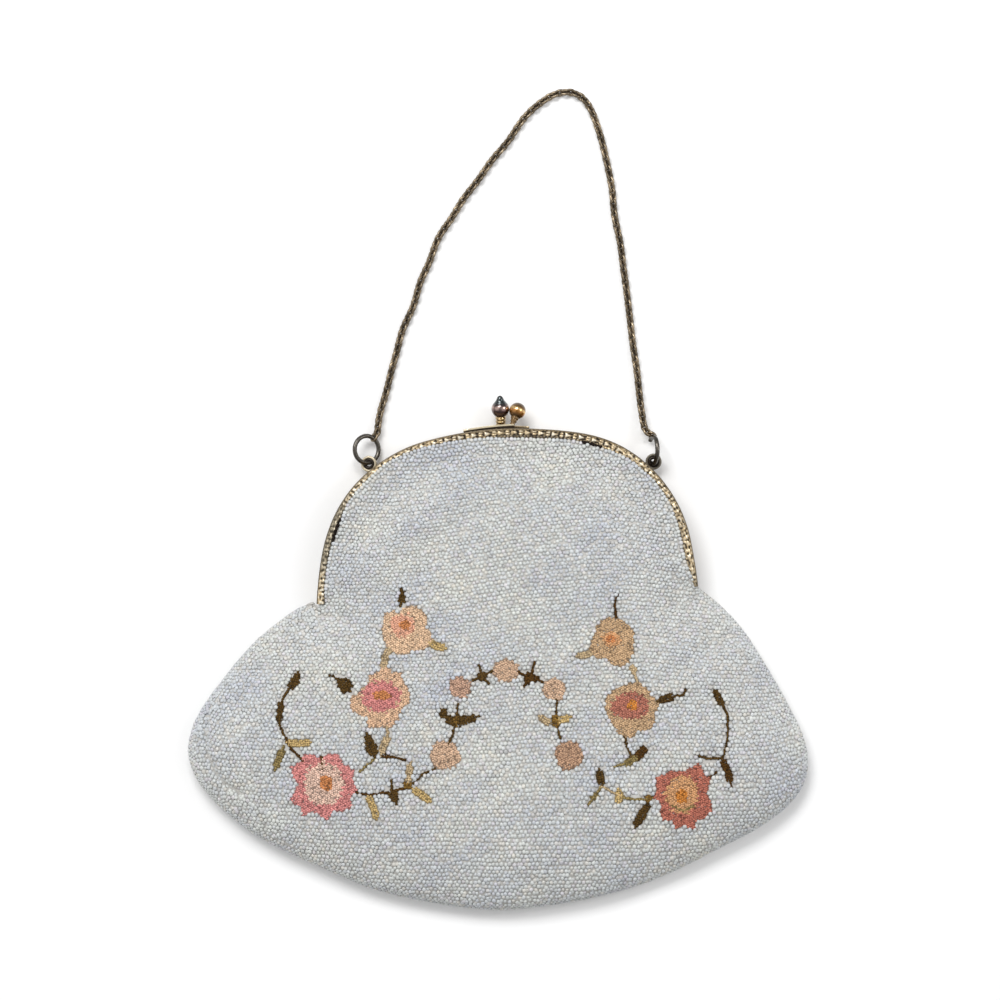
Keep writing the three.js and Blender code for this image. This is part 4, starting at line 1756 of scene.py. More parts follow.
    def _fillers(self, laid: Array) -> Beads:
        """Puts single beads into what the rows leave bare beside the frame.

        Args:
            laid: the centres of the beads laid so far.

        Returns:
            The beads.
        """
        left, right = HingedFrame.ends
        steps = np.arange(left + self.lip_start, right - self.lip_start, self.filler_step)
        depths = np.arange(*self.filler_depths)
        shown = np.repeat(open_face(steps), len(depths)) + np.tile(depths, len(steps))
        tried = ARCH.inside(np.repeat(steps, len(depths)), shown)
        if self.embroidery:
            tried = tried[~self.embroidery.covers(*tried.T, self.filler_clear)]
        taken = laid[np.abs(ARCH.locate(*laid[:, :2].T)[0]) < self.filler_reach, :2]
        chosen = []
        for spot in tried:
            if np.hypot(*(taken - spot).T).min() > self.filler_room:
                chosen.append(spot)
                taken = np.vstack([taken, spot])
        x, y = np.reshape(chosen, (-1, 2)).T
        return *self._seated(x, y), np.tile(ACROSS, (len(x), 1))

    def _axes(
        self, rng: Draws, centres: Array, normals: Array, along: Array
    ) -> Array:
        """Turns and sizes the beads, each a little unevenly.

        Args:
            rng: the random draws.
            centres: the beads' places.
            normals: their outward directions.
            along: their directions along the rows.

        Returns:
            (n, 3, 3) matrices that hold each bead's axes times its half-sizes.
        """
        count, spread = len(centres), self.spread
        leaning = unit(normals + rng.normal(0, spread.lean, (count, 3)))
        axes = frames_from(leaning, along + rng.normal(0, spread.turn, (count, 3)))
        sizes = np.array(self.half_sizes) * rng.normal(1.0, spread.size, (count, 1)).clip(*self.size_range)
        sizes = sizes * rng.normal(1.0, spread.form, (count, 3))
        sizes[:, 1] *= self._spacing(centres[:, 1]) / self.row
        return axes * sizes[:, None, :]

    def _tints(self, rng: Draws, centres: Array) -> Array:
        """Draws each bead's colour, with slow changes over the cloth.

        Args:
            rng: the random draws.
            centres: the beads' places.

        Returns:
            (n, 3) linear colours.
        """
        shares = np.array([share for share, _ in self.palette])
        colours = np.array([linear(colour) for _, colour in self.palette])
        tints = colours[rng.choice(len(shares), len(centres), p=shares / shares.sum())]
        tints = tints * rng.normal(1.0, self.spread.tint, (len(centres), 1)).clip(*self.tint_range)
        age = Ripple(self.seed + 1, *self.age_lengths).at(centres[:, 0], centres[:, 1])[:, None]
        return np.clip(tints * (1 + self.ageing * age + np.array(self.warmth) * age), 0, self.whitest)


@dataclass
class GroundCloth:
    """The cloth of one panel, a little inside its solid so that the beads fill up to it."""

    surface: PanelSurface
    inset: float = 0.33
    outer_from: float = -0.3
    mouth_drop: float = 0.1
    drop_over: Pair = (-13.0, -10.0)
    tuck_room: float = 0.45
    tuck_drop: float = 0.5

    def _mouth(self, x: Array, y: Array, z: Array) -> Array:
        """Folds the front cloth and tucks it under the frame's face.

        Args:
            x: places across the bag.
            y: places along the bag.
            z: the cloth's height there.

        Returns:
            The new heights.
        """
        raised = lipped(x, y, z + creased(x, y), HingedFrame.lip_level - self.inset)
        outside, along = ARCH.locate(x, y)
        raised = raised - self.mouth_drop * held_by_frame(along) * smoothstep(*self.drop_over, outside)
        left, right = HingedFrame.ends
        under = (outside > -open_face(along) - self.tuck_room) & (along > left) & (along < right)
        return np.where(under, np.minimum(raised, HingedFrame.front_z - self.tuck_drop), raised)

    def build(self, name: str, dressing: Dressing, trims: Sequence[bpy.types.Object]) -> bpy.types.Object:
        """Args:
            name: the piece's name.
            dressing: its finish.
            trims: the beads and stitches sewn on it; not used.

        Returns:
            The cloth.
        """
        mesh = self.surface.mesh
        mesh.name = name
        points, normals = vertex_values(mesh), vertex_values(mesh, "normal")
        outer = normals[:, 2:] * self.surface.way > self.outer_from
        points = points - np.where(outer, normals * self.inset * METRES, 0)
        if self.surface.way > 0:
            x, y, z = points.T / METRES
            points[:, 2] = np.where(outer[:, 0], self._mouth(x, y, z), z) * METRES
        mesh.vertices.foreach_set("co", points.ravel())
        mesh.update()
        mesh.shade_smooth()
        piece = linked(name, mesh)
        dressing.put_on(piece, self.surface.node)
        low, high = self.surface.rim.min(0) * METRES, self.surface.rim.max(0) * METRES
        tuple(float(side) for side in high - low)
        self.surface.area() * METRES ** 2
        return piece


@dataclass(frozen=True)
class Wear:
    """A seeded unevenness of the gilding: its wave lengths, its middle, its spread and its limits."""

    seed: int
    lengths: Pair
    middle: float
    spread: float
    limits: Pair

    def at(self, x: Array, y: Array, shift: int = 0) -> Array:
        """Gives the unevenness at places, with the seed shifted for another piece."""
        ripple = Ripple(self.seed + shift, *self.lengths)
        return (self.middle + self.spread * ripple.at(x, y)).clip(*self.limits)


@dataclass(frozen=True)
class Eyelet:
    """A soldered eyelet: its side, angle from the arch's top, distance from the edge, tilt and colour."""

    side: int
    angle: float
    standoff: float
    tilt: float
    tint: Triple


@dataclass
class HingedFrame:
    """The two pressed metal halves of the arch, with the embossed strip and the handle's eyelets."""

    back_z: float = 0.5
    front_z: float = 11.5
    metal: float = 0.8
    gap: float = 0.15
    corner: float = 0.28
    rim: float = 0.42
    rim_fall: float = 0.12
    fillet: float = 0.1
    band_start: float = 0.44
    pattern_end: float = 2.35
    band_end: float = 3.2
    band_drop: float = 0.2
    band_steps: int = 15
    inner_drop: float = 0.3
    pitch: float = 4.4
    arrow_length: float = 2.1
    arrow_half: float = 0.9
    arrow_edge: Pair = (-0.05, 0.25)
    bars_at: Pair = (3.2, 0.42)
    bar_width: Pair = (0.62, 0.4)
    bar_height: Pair = (0.36, 0.14)
    bar_rise: float = 0.85
    border_from: Pair = (0.84, 0.96)
    border_pitch: float = 1.1
    border_rise: Pair = (0.3, 0.2)
    relief: float = 0.34
    tuck: float = 0.45
    tuck_over: Pair = (0.2, 0.6)
    hidden_squeeze: float = 0.7
    wall_top: float = 4.0
    rim_from: float = 4.6
    step: float = 0.26
    crisp: float = 48.0
    face_width = 3.4
    ends = (-92.2, 94.4)
    lip_level = 11.85
    bright: Triple = (255, 248, 230)
    wear_and_sheen: Triple = (224, 198, 154)
    # Dark patina of the relief's hollows; the eyelets' bores take it as painted shade
    hollow: Triple = (30, 20, 10)
    rim_shine: float = 0.09
    shine_gain: float = 1.3
    shine_loss: float = 0.12
    dull: Triple = (140, 131, 112)
    dull_base: float = 0.35
    # Painted shade: where and how deeply the inner edge of the face is darkened, for the shaded gaps beside
    # the beads
    gap_shade_over: Pair = (2.3, 2.7)
    gap_shade_depth: float = 0.85
    patchy: tuple[Pair, ...] = ((-60.0, 0.7), (-26.0, 0.6), (-16.0, 0.25), (34.0, 0.25), (44.0, 0.6))
    dull_stretches: tuple[Pair, ...] = (
        (-93.6, 0.5), (-90.5, 0.1), (-84.0, 0.3), (-78.0, 0.9), (-60.0, 0.8), (-54.0, 0.3), (-43.0, 0.1),
        (-31.0, 0.2), (-22.0, 0.1), (40.0, 0.1), (52.0, 0.2), (60.0, 0.4), (68.0, 0.25), (82.0, 0.1),
        (90.0, 0.3), (93.6, 0.5),
    )
    # Painted shade on the face's inner edge, by distance along the arch
    painted_gap_shade: tuple[Pair, ...] = (
        (-80.0, 0.6), (-70.0, 0.8), (-66.0, 1.0), (-57.0, 1.0), (-52.0, 0.3), (-8.0, 0.1), (-2.0, 0.6),
        (6.0, 0.9), (36.0, 1.0), (40.0, 0.3), (60.0, 0.4),
    )
    pinch: tuple[Pair, ...] = (
        (-92.0, 0.2), (-84.0, 0.5), (-76.0, 0.7), (-68.0, 0.6), (-60.0, 0.4), (-52.0, 0.3), (-36.0, 0.45),
        (-26.0, 0.35), (0.0, 0.4), (14.0, 0.45), (20.0, 0.3), (27.0, 0.1), (35.0, -0.3), (41.0, -0.48),
        (48.0, -0.46), (56.0, -0.3), (64.0, -0.1), (70.0, 0.1), (76.0, 0.3), (84.0, 0.65), (94.0, 0.75),
    )
    pressing: Wear = Wear(33, (1.2, 4.0), 0.8, 0.35, (0.25, 1.0))
    patches: Wear = Wear(38, (0.8, 2.2), 0.5, 0.7, (0.0, 1.0))
    rubbing: Wear = Wear(42, (4.0, 18.0), 0.2, 0.05, (0.06, 0.4))
    eyelet_radius: float = 2.2
    eyelet_wire: float = 0.42
    eyelet_steps: tuple[int, int] = (32, 10)
    # A dark ring inside each eyelet: painted shade in its hole
    bore_wire: float = 0.58
    bore_inset: float = 1.5
    bore_steps: tuple[int, int] = (32, 8)
    eyelet_z: float = 4.0
    eyelets: tuple[Eyelet, ...] = (
        Eyelet(-1, 35.4, 1.6, -12.0, (206, 194, 168)),
        Eyelet(1, 45.9, 2.6, 0.0, (112, 106, 94)),
    )

    @property
    def half_depth(self) -> float:
        """Height of one half over the frame's middle plane."""
        return (self.front_z - self.back_z) / 2

    def _section(self) -> Array:
        """Draws one half's section.

        Returns:
            (n, 2) distances in from the edge and heights over the frame's middle plane.
        """
        top = self.half_depth
        turn = np.radians([0, 30, 60, 90])
        corner = np.stack([
            self.corner * (1 - np.cos(turn)), top - self.corner * (1 - np.sin(turn)),
        ], axis=1)
        across = np.linspace(self.band_start, self.band_end, self.band_steps)
        band = np.stack([across, np.full(len(across), top - self.band_drop)], axis=1)
        under = top - self.metal
        rest = [
            [self.face_width, top - self.inner_drop], [self.face_width, under],
            [self.metal + self.fillet, under], [self.metal, under - self.fillet], [self.metal, self.gap],
        ]
        return np.vstack([[[0.0, self.gap]], corner, [[self.rim - self.rim_fall, top]], band, rest])

    def _relief(self, along: Array, across: Array) -> Array:
        """Draws the pressed arrowheads, paired bars and beaded borders.

        Args:
            along: distances along the arch.
            across: distances in from the edge.

        Returns:
            Heights from 0 in the hollows to 1, a row for each distance along.
        """
        s = np.mod(along, self.pitch)[:, None]
        t = ((across - self.band_start) / (self.pattern_end - self.band_start))[None, :]
        off = np.abs(t - 0.5) * 2
        arrow = smoothstep(*self.arrow_edge, self.arrow_half * (1 - s / self.arrow_length) - off)
        arrow = arrow * smoothstep(0.0, self.arrow_edge[1], s)
        bars = smoothstep(*self.bar_width, np.abs(s - self.bars_at[0]))
        bars = bars * smoothstep(*self.bar_height, np.abs(off - self.bars_at[1]))
        beads = self.border_rise[0] + self.border_rise[1] * np.cos(2 * np.pi * s / self.border_pitch)
        border = smoothstep(*self.border_from, off) * beads
        return np.maximum(np.maximum(arrow, self.bar_rise * bars), border)

    def _half(self, stock: Stock, way: int) -> None:
        """Sweeps one half along the arch.

        Args:
            stock: takes the half.
            way: 1 for the front and -1 for the back.
        """
        along = np.arange(*self.ends, self.step)
        places, outward = ARCH.stations(along)
        inward, height = self._section().T
        band = (inward >= self.band_start) & (inward <= self.band_end) & (height > self.wall_top)
        spots = np.meshgrid(along, inward[band], indexing="ij")
        relief, patch = np.zeros((2, len(along), len(inward)))
        relief[:, band] = self._relief(along, inward[band]) * self.pressing.at(*spots, way)
        patch[:, band] = self.patches.at(*spots)
        lift = height + self.relief * relief
        reach = inward[None, :] + from_table(self.pinch, along)[:, None]
        if way > 0:
            under = reach - open_face(along)[:, None]
            on_face = height > self.half_depth - self.metal + self.fillet
            lift = lift - self.tuck * smoothstep(*self.tuck_over, under) * on_face
            reach = reach - self.hidden_squeeze * np.maximum(under, 0)
        grid = np.empty((*relief.shape, 3))
        grid[..., :2] = places[:, None, :] - outward[:, None, :] * reach[..., None]
        grid[..., 2] = (self.front_z + self.back_z) / 2 + way * lift
        mixed = from_table(self.patchy, along)[:, None]
        shine = self.shine_gain * (relief * (1 - mixed) + patch * mixed) - self.shine_loss
        wall = self.rubbing.at(*np.meshgrid(along, height, indexing="ij"))
        shine = np.where(band, shine.clip(0, 1), np.where(height > self.rim_from, self.rim_shine, wall))
        grid, tint = ARCH.to_bag(grid), self._gilding(along, reach, shine[..., None])
        if way > 0:
            grid, tint = grid[:, ::-1], tint[:, ::-1]
        stock.add_grid(grid, tint, close_rows=False, caps=True)

    def _gilding(self, along: Array, reach: Array, shine: Array) -> Array:
        """Colours the metal from its dark hollows to its bright heights, and darkens the inner edge of its
        face along some stretches as painted shade of the gaps beside the beads.

        Args:
            along: distances along the arch.
            reach: distances in from the edge, a row for each distance along.
            shine: how bright each place is, from 0 to 1.

        Returns:
            A linear colour for each place.
        """
        deep, mid, high = (linear(colour) for colour in (self.hollow, self.wear_and_sheen, self.bright))
        tint = np.where(shine < 0.5, deep + (mid - deep) * shine * 2, mid + (high - mid) * (shine * 2 - 1))
        share = from_table(self.dull_stretches, along)[:, None, None]
        tint = tint + (linear(self.dull) * (self.dull_base + shine) - tint) * share
        # Painted shade on the inner edge of the face, where the gaps beside the beads look dark
        gap = from_table(self.painted_gap_shade, along)[:, None] * smoothstep(*self.gap_shade_over, reach)
        return tint * (1 - self.gap_shade_depth * gap[..., None])

    def _eyelet(self, stock: Stock, eyelet: Eyelet) -> None:
        """Adds one eyelet, with a dark ring inside it as painted shade in its hole.

        Args:
            stock: takes the eyelet.
            eyelet: its place and colour.
        """
        centre, turn = ARCH.centres()[1], math.radians(eyelet.angle)
        reach = ARCH.arcs[1].radius + eyelet.standoff
        x, y = centre + reach * np.array([math.sin(turn), math.cos(turn)])
        middle = (eyelet.side * x, y, self.eyelet_z)
        rim = hoop(self.eyelet_radius, self.eyelet_wire, *self.eyelet_steps)
        bore_shade_ring = hoop(self.eyelet_radius - self.bore_inset * self.bore_wire, self.bore_wire, *self.bore_steps)
        # The bore ring takes the hollow colour as painted shade inside the eyelet
        for ring, colour in ((rim, eyelet.tint), (bore_shade_ring - (0, 0, self.eyelet_wire), self.hollow)):
            grid = ARCH.to_bag(ring @ about_y(eyelet.tilt) + middle)
            stock.add_grid(grid, linear(colour), close_rows=True, caps=False)

    def build(self, dressing: Dressing) -> None:
        """Makes both halves.

        Args:
            dressing: their finish.
        """
        front, back = Stock(), Stock()
        self._half(front, 1)
        self._half(back, -1)
        for eyelet in self.eyelets:
            self._eyelet(back, eyelet)
        dressing.put_on(front.make("frame_front_embossed", self.crisp), "frame_front")
        dressing.put_on(back.make("frame_back_embossed", self.crisp), "frame_back")


def hoop(
    radius: float, wire: float, steps: int, sides: int, stretch: float = 1.0, span: Pair = (0.0, 360.0)
) -> Array:
    """Makes a ring of round wire that lies flat round the origin.

    Args:
        radius: to the wire's middle, across the ring.
        wire: the wire's radius.
        steps: how many sections the ring has.
        sides: how many points a section has.
        stretch: how much longer than wide the ring is.
        span: where the wire starts and ends, in degrees round the ring.

    Returns:
        (steps, sides, 3) places.
    """
    turn = np.radians(np.linspace(*span, steps, endpoint=span[1] - span[0] < 360))
    middle = np.stack([radius * stretch * np.cos(turn), radius * np.sin(turn), 0 * turn], axis=1)
    out = unit(np.stack([np.cos(turn), stretch * np.sin(turn), 0 * turn], axis=1))
    round_wire = np.linspace(0, 2 * np.pi, sides, endpoint=False)
    swing = wire * (np.cos(round_wire)[None, :, None] * out[:, None, :])
    rise = wire * np.sin(round_wire)[None, :, None] * np.array([0.0, 0.0, 1.0])
    return middle[:, None, :] + swing + rise


def lathe(profile: Array, sides: int) -> Array:
    """Turns a profile of radii and heights round +Y.

    Args:
        profile: (n, 2) radii and heights from the foot up.
        sides: how many points go round.

    Returns:
        (n, sides, 3) places.
    """
    turn = np.linspace(0, 2 * np.pi, sides, endpoint=False)
    ring = np.stack([np.cos(turn), 0 * turn, -np.sin(turn)], axis=1)
    return profile[:, 0, None, None] * ring[None] + profile[:, 1, None, None] * np.array([0.0, 1.0, 0.0])


def turn_up(points: Array, foot: Sequence[float], tip: Sequence[float]) -> Array:
    """Stands points that rise along +Y on a foot.

    Args:
        points: the points.
        foot: where they stand.
        tip: what they lean towards.

    Returns:
        The moved points.
    """
    axis = Vector(tip) - Vector(foot)
    lean = np.array(Vector((0, 1, 0)).rotation_difference(axis).to_matrix())
    return points @ lean.T + foot


@dataclass(frozen=True)
class Knob:
    """One half of the kiss-lock: its spring arm along the arch and its turned knob, in the frame's axes."""

    node: str
    z: float
    clearance: float
    start: float
    end: float
    foot: Triple
    ball: Triple
    ball_radius: float
    neck_radii: Pair
    neck_rings: int
    tip: float
    # Colour bands along the ball's axis, from neck to top: painted reflection and highlight over the ball's
    # own colour
    ball_painted_reflections: tuple[tuple[float, Triple], ...]
    tip_tint: Triple
    neck_tint: Triple
    arm_tint: Triple


@dataclass
class KissLock:
    """The two sprung knobs that snap past each other on the arch's top."""

    arm_thickness: float = 0.66
    arm_width: float = 3.2
    arm_lift: float = 0.42
    arm_corners: int = 16
    arm_rounding: Pair = (0.4, 0.25)
    arm_end: float = 0.06
    arm_end_width: float = 0.65
    # A dark web between the arm and the frame: painted shade under the arm
    web_foot: float = -0.4
    web_half: float = 0.3
    web_overlap: float = 0.1
    web_shade_tint: Triple = (64, 50, 32)
    stations: int = 28
    sides: int = 36
    neck_steps: int = 26
    neck_swell: float = 0.2
    ball_steps: int = 30
    ball_closing: float = 0.02
    tip_from: float = math.radians(140)
    tip_start: float = 0.06
    tip_steps: int = 16
    tip_body: Pair = (0.66, 2.5)
    tip_flare: Pair = (0.42, 4.0)
    point: float = 0.01
    crisp: float = 50.0
    knobs: tuple[Knob, ...] = (
        Knob(
            "clasp_front", z=8.3, clearance=0.0, start=-11.0, end=5.4, foot=(4.7, 0.55, 8.0),
            ball=(6.75, 5.1, 6.2), ball_radius=2.66, neck_radii=(0.5, 1.2), neck_rings=3, tip=0.0,
            # Painted reflection: dark top and bottom and a bright band round the middle
            ball_painted_reflections=(
                (0.0, (52, 38, 20)), (0.14, (120, 80, 32)), (0.28, (176, 118, 48)), (0.38, (250, 212, 150)),
                (0.47, (130, 98, 56)), (0.6, (82, 62, 38)), (1.0, (58, 44, 28)),
            ),
            tip_tint=(58, 44, 28), neck_tint=(128, 100, 62), arm_tint=(255, 240, 206),
        ),
        Knob(
            "clasp_back", z=3.7, clearance=-0.2, start=10.2, end=-0.4, foot=(1.15, 0.55, 3.9),
            ball=(1.3, 6.05, 5.7), ball_radius=2.9, neck_radii=(1.5, 1.5), neck_rings=3, tip=4.5,
            # The ball's own brown-red, with a painted highlight streak at 0.72
            ball_painted_reflections=(
                (0.0, (130, 96, 56)), (0.14, (78, 48, 38)), (0.5, (84, 50, 44)), (0.72, (190, 160, 150)),
                (0.84, (96, 80, 78)), (1.0, (58, 62, 64)),
            ),
            tip_tint=(52, 62, 64), neck_tint=(196, 168, 120), arm_tint=(236, 214, 176),
        ),
    )

    def _arm(self, stock: Stock, knob: Knob) -> None:
        """Adds the springy strip, with rounded edges, and under it a dark web that stands in as painted
        shade beneath the arm.

        Args:
            stock: takes the arm.
            knob: its sizes.
        """
        share = np.linspace(0, 1, self.stations)
        x = knob.start + (knob.end - knob.start) * share
        radius = ARCH.arcs[0].radius
        edge = np.sqrt(radius ** 2 - x ** 2) - radius
        y = edge + knob.clearance + self.arm_lift * share
        turn = np.linspace(0, 2 * np.pi, self.arm_corners, endpoint=False)
        sides = (np.sin(turn), np.cos(turn))
        up, across = (np.sign(s) * np.abs(s) ** power for s, power in zip(sides, self.arm_rounding))
        width = smoothstep(0, self.arm_end, share) * (1 - self.arm_end_width) + self.arm_end_width
        grid = np.empty((self.stations, len(turn), 3))
        grid[..., 0] = x[:, None]
        grid[..., 1] = y[:, None] + self.arm_thickness / 2 * (1 + up)
        grid[..., 2] = knob.z + self.arm_width / 2 * across * width[:, None]
        shade_web = np.empty((self.stations, 4, 3))
        low, high = edge + self.web_foot, y + self.web_overlap
        shade_web[..., 0] = x[:, None]
        shade_web[..., 1] = np.stack([low, low, high, high], axis=1)
        shade_web[..., 2] = knob.z + self.web_half * np.array([-1, 1, 1, -1])
        for strip, tint in ((grid, knob.arm_tint), (shade_web, self.web_shade_tint)):
            strip = strip[::-1] if knob.end < knob.start else strip
            stock.add_grid(ARCH.to_bag(strip), linear(tint), close_rows=False, caps=True)

    def _post(self, stock: Stock, knob: Knob) -> None:
        """Adds the turned knob: a ringed neck, the ball and, where it has one, the pointed tip.

        Args:
            stock: takes the knob.
            knob: its sizes.
        """
        height = float(np.linalg.norm(np.subtract(knob.ball, knob.foot)))
        start = math.asin(knob.neck_radii[1] / knob.ball_radius)
        neck_top = height - knob.ball_radius * math.cos(start)
        rise = np.linspace(0, neck_top, self.neck_steps)
        swell = self.neck_swell * np.sin(np.pi * knob.neck_rings * rise / neck_top) ** 2
        neck = np.stack([np.interp(rise, (0, neck_top), knob.neck_radii) + swell, rise], axis=1)
        end = self.tip_from if knob.tip else math.pi - self.ball_closing
        angle = np.linspace(start, end, self.ball_steps)
        ball = (0, height) + knob.ball_radius * np.stack([np.sin(angle), -np.cos(angle)], axis=1)
        profile = [[[self.point, 0.0]], neck, ball[1:]]
        # The ball's bands of painted reflection and highlight
        bands, colours = zip(*knob.ball_painted_reflections)
        share = np.linspace(0, 1, len(ball) - 1)
        channels = np.transpose([linear(colour) for colour in colours])
        wear_and_sheen = [np.interp(share, bands, channel) for channel in channels]
        tints = [np.tile(linear(knob.neck_tint), (len(neck) + 1, 1)), np.stack(wear_and_sheen, axis=1)]
        if knob.tip:
            share = np.linspace(self.tip_start, 1, self.tip_steps)
            base, low = ball[-1]
            body = self.tip_body[0] * np.sqrt(1 - share ** self.tip_body[1])
            flare = self.tip_flare[0] * (1 - share) ** self.tip_flare[1]
            cone = np.stack([base * (body + flare), low + (height + knob.tip - low) * share], axis=1)
            cone[-1, 0] = self.point
            profile.append(cone)
            tints.append(np.tile(linear(knob.tip_tint), (len(cone), 1)))
        grid = ARCH.to_bag(turn_up(lathe(np.vstack(profile), self.sides), knob.foot, knob.ball))
        colours = np.broadcast_to(np.vstack(tints)[:, None, :], grid.shape)
        stock.add_grid(grid, colours, close_rows=False, caps=True)

    def build(self, dressings: Mapping[str, Dressing]) -> None:
        """Makes both knobs.

        Args:
            dressings: the finish of each, by the name of its solid.
        """
        for knob in self.knobs:
            stock = Stock()
            self._arm(stock, knob)
            self._post(stock, knob)
            dressings[knob.node].put_on(stock.make(f"{knob.node}_knob", self.crisp), knob.node)


@dataclass(frozen=True)
class JumpRing:
    """A wire ring: its solid, its centre, its turn about Y and, where it is open, what its wire spans."""

    node: str
    centre: Triple
    turn_y: float
    span: Pair = (0.0, 360.0)

    def axes(self) -> Array:
        """Gives the ring's axes as rows, its own plane's normal last."""
        return about_y(self.turn_y)


@dataclass
class ChainHandle:
    """The handle: round links that hang on two jump rings."""

    ring_radius: float = 4.35
    ring_wire: float = 0.72
    rings: tuple[JumpRing, ...] = (
        JumpRing("ring_left", (-42.2, 71.0, 4.1), 30.0),
        JumpRing("ring_right", (50.2, 70.8, 4.6), -74.0, (-112.0, 135.0)),
    )
    ring_steps: tuple[int, int] = (56, 14)
    hook_overlap: float = 0.75
    link_pitch: float = 1.83
    link_radius: float = 1.02
    link_stretch: float = 1.36
    link_wire: float = 0.44
    link_steps: tuple[int, int] = (18, 7)
    uneven: Pair = (0.6, 1.5)
    seed: int = 6
    settle: float = 0.15
    sway: float = 0.22
    sway_wave: Ripple = Ripple(4, 6, 24)
    taut_end: float = 12.0
    roll: float = 45.0
    ring_tint: Triple = (96, 92, 86)
    chain_tint: Triple = (136, 122, 102)
    route: tuple[Triple, ...] = (
        (-39.0, 76.0, 2.7), (-38.5, 79.5, 2.2), (-37.5, 85.3, 1.6), (-34.9, 94.0, 1.35),
        (-32.4, 103.0, 1.35), (-28.2, 115.9, 1.35), (-23.3, 128.8, 1.35), (-18.5, 140.1, 1.35),
        (-13.7, 148.1, 1.35), (-8.9, 154.6, 1.35), (-2.4, 163.3, 1.35), (2.4, 169.7, 1.35),
        (7.2, 176.3, 1.35), (10.5, 180.1, 1.35), (14.3, 183.4, 1.35), (18.2, 185.8, 1.35),
        (22.1, 186.6, 1.35), (24.8, 186.2, 1.35), (27.5, 184.5, 1.35), (29.8, 181.3, 1.35),
        (31.7, 177.1, 1.35), (33.2, 172.6, 1.35), (35.2, 164.2, 1.35), (37.1, 154.9, 1.35),
        (38.7, 142.3, 1.35), (40.1, 132.3, 1.35), (42.3, 119.1, 1.35), (44.0, 103.0, 1.35),
        (45.6, 91.4, 1.5), (46.6, 82.9, 2.2), (47.9, 77.2, 3.4),
    )

    def _hook(self, ring: JumpRing, end: Array) -> Array:
        """Finds where the last link holds a ring's wire.

        Args:
            ring: the ring.
            end: the chain's end beside it.

        Returns:
            The link's centre.
        """
        normal = ring.axes()[2]
        away = end - ring.centre
        flat = unit(away - normal * np.dot(away, normal))
        reach = self.ring_radius + self.link_radius * self.link_stretch - self.hook_overlap
        return np.asarray(ring.centre) + flat * reach

    def _ring(self, ring: JumpRing) -> Stock:
        """Bends the wire of one ring.

        Args:
            ring: its place and span.

        Returns:
            The ring.
        """
        stock = Stock()
        whole = ring.span == JumpRing.span
        grid = hoop(self.ring_radius, self.ring_wire, *self.ring_steps, span=ring.span) @ ring.axes()
        stock.add_grid(grid + ring.centre, linear(self.ring_tint), close_rows=whole, caps=not whole)
        return stock

    def _links(self) -> Stock:
        """Threads the links along the route, each turned against the one before.

        Returns:
            The chain.
        """
        route = np.array(self.route)
        first, last = self._hook(self.rings[0], route[0]), self._hook(self.rings[1], route[-1])
        path = smooth_path(np.vstack([first, route, last]), 16)
        length = lengths_along(path)[-1]
        count = round(length / self.link_pitch) + 1
        lengths = np.linspace(0, length, count)
        loose = smoothstep(0, self.taut_end, np.minimum(lengths, length - lengths))[:, None]
        places = at_lengths(path, lengths) - (0, 0, self.settle) * loose
        tangent = unit(np.gradient(places, axis=0))
        swing = self.sway * loose * self.sway_wave.at(lengths, 0 * lengths)[:, None]
        places = places - swing * beside(tangent)
        upright = frames_from(tangent, np.tile([0.0, 0.0, 1.0], (count, 1)))
        link = hoop(self.link_radius, self.link_wire, *self.link_steps, self.link_stretch)
        lightness = np.random.default_rng(self.seed).uniform(*self.uneven, count)
        stock = Stock()
        for k in range(count):
            roll = math.radians(self.roll if k % 2 else -self.roll)
            side = upright[k][:, 0] * math.cos(roll) + upright[k][:, 1] * math.sin(roll)
            axes = np.stack([tangent[k], np.cross(side, tangent[k]), side])
            tint = linear(self.chain_tint) * lightness[k]
            stock.add_grid(link @ axes + places[k], tint, close_rows=True, caps=False)
        return stock

    def build(self, ring_dressing: Dressing, chain_dressing: Dressing) -> None:
        """Makes the rings and the chain.

        Args:
            ring_dressing: the rings' finish.
            chain_dressing: the chain's finish.
        """
        for ring in self.rings:
            ring_dressing.put_on(self._ring(ring).make(f"{ring.node}_wire"), ring.node)
        chain_dressing.put_on(self._links().make("chain_links"), "chain")


@dataclass(frozen=True)
class Lamp:
    """A rectangular soft lamp: its place, its two sides in millimetres and its power in watts."""

    name: str
    place: Triple
    sides: Pair
    power: float


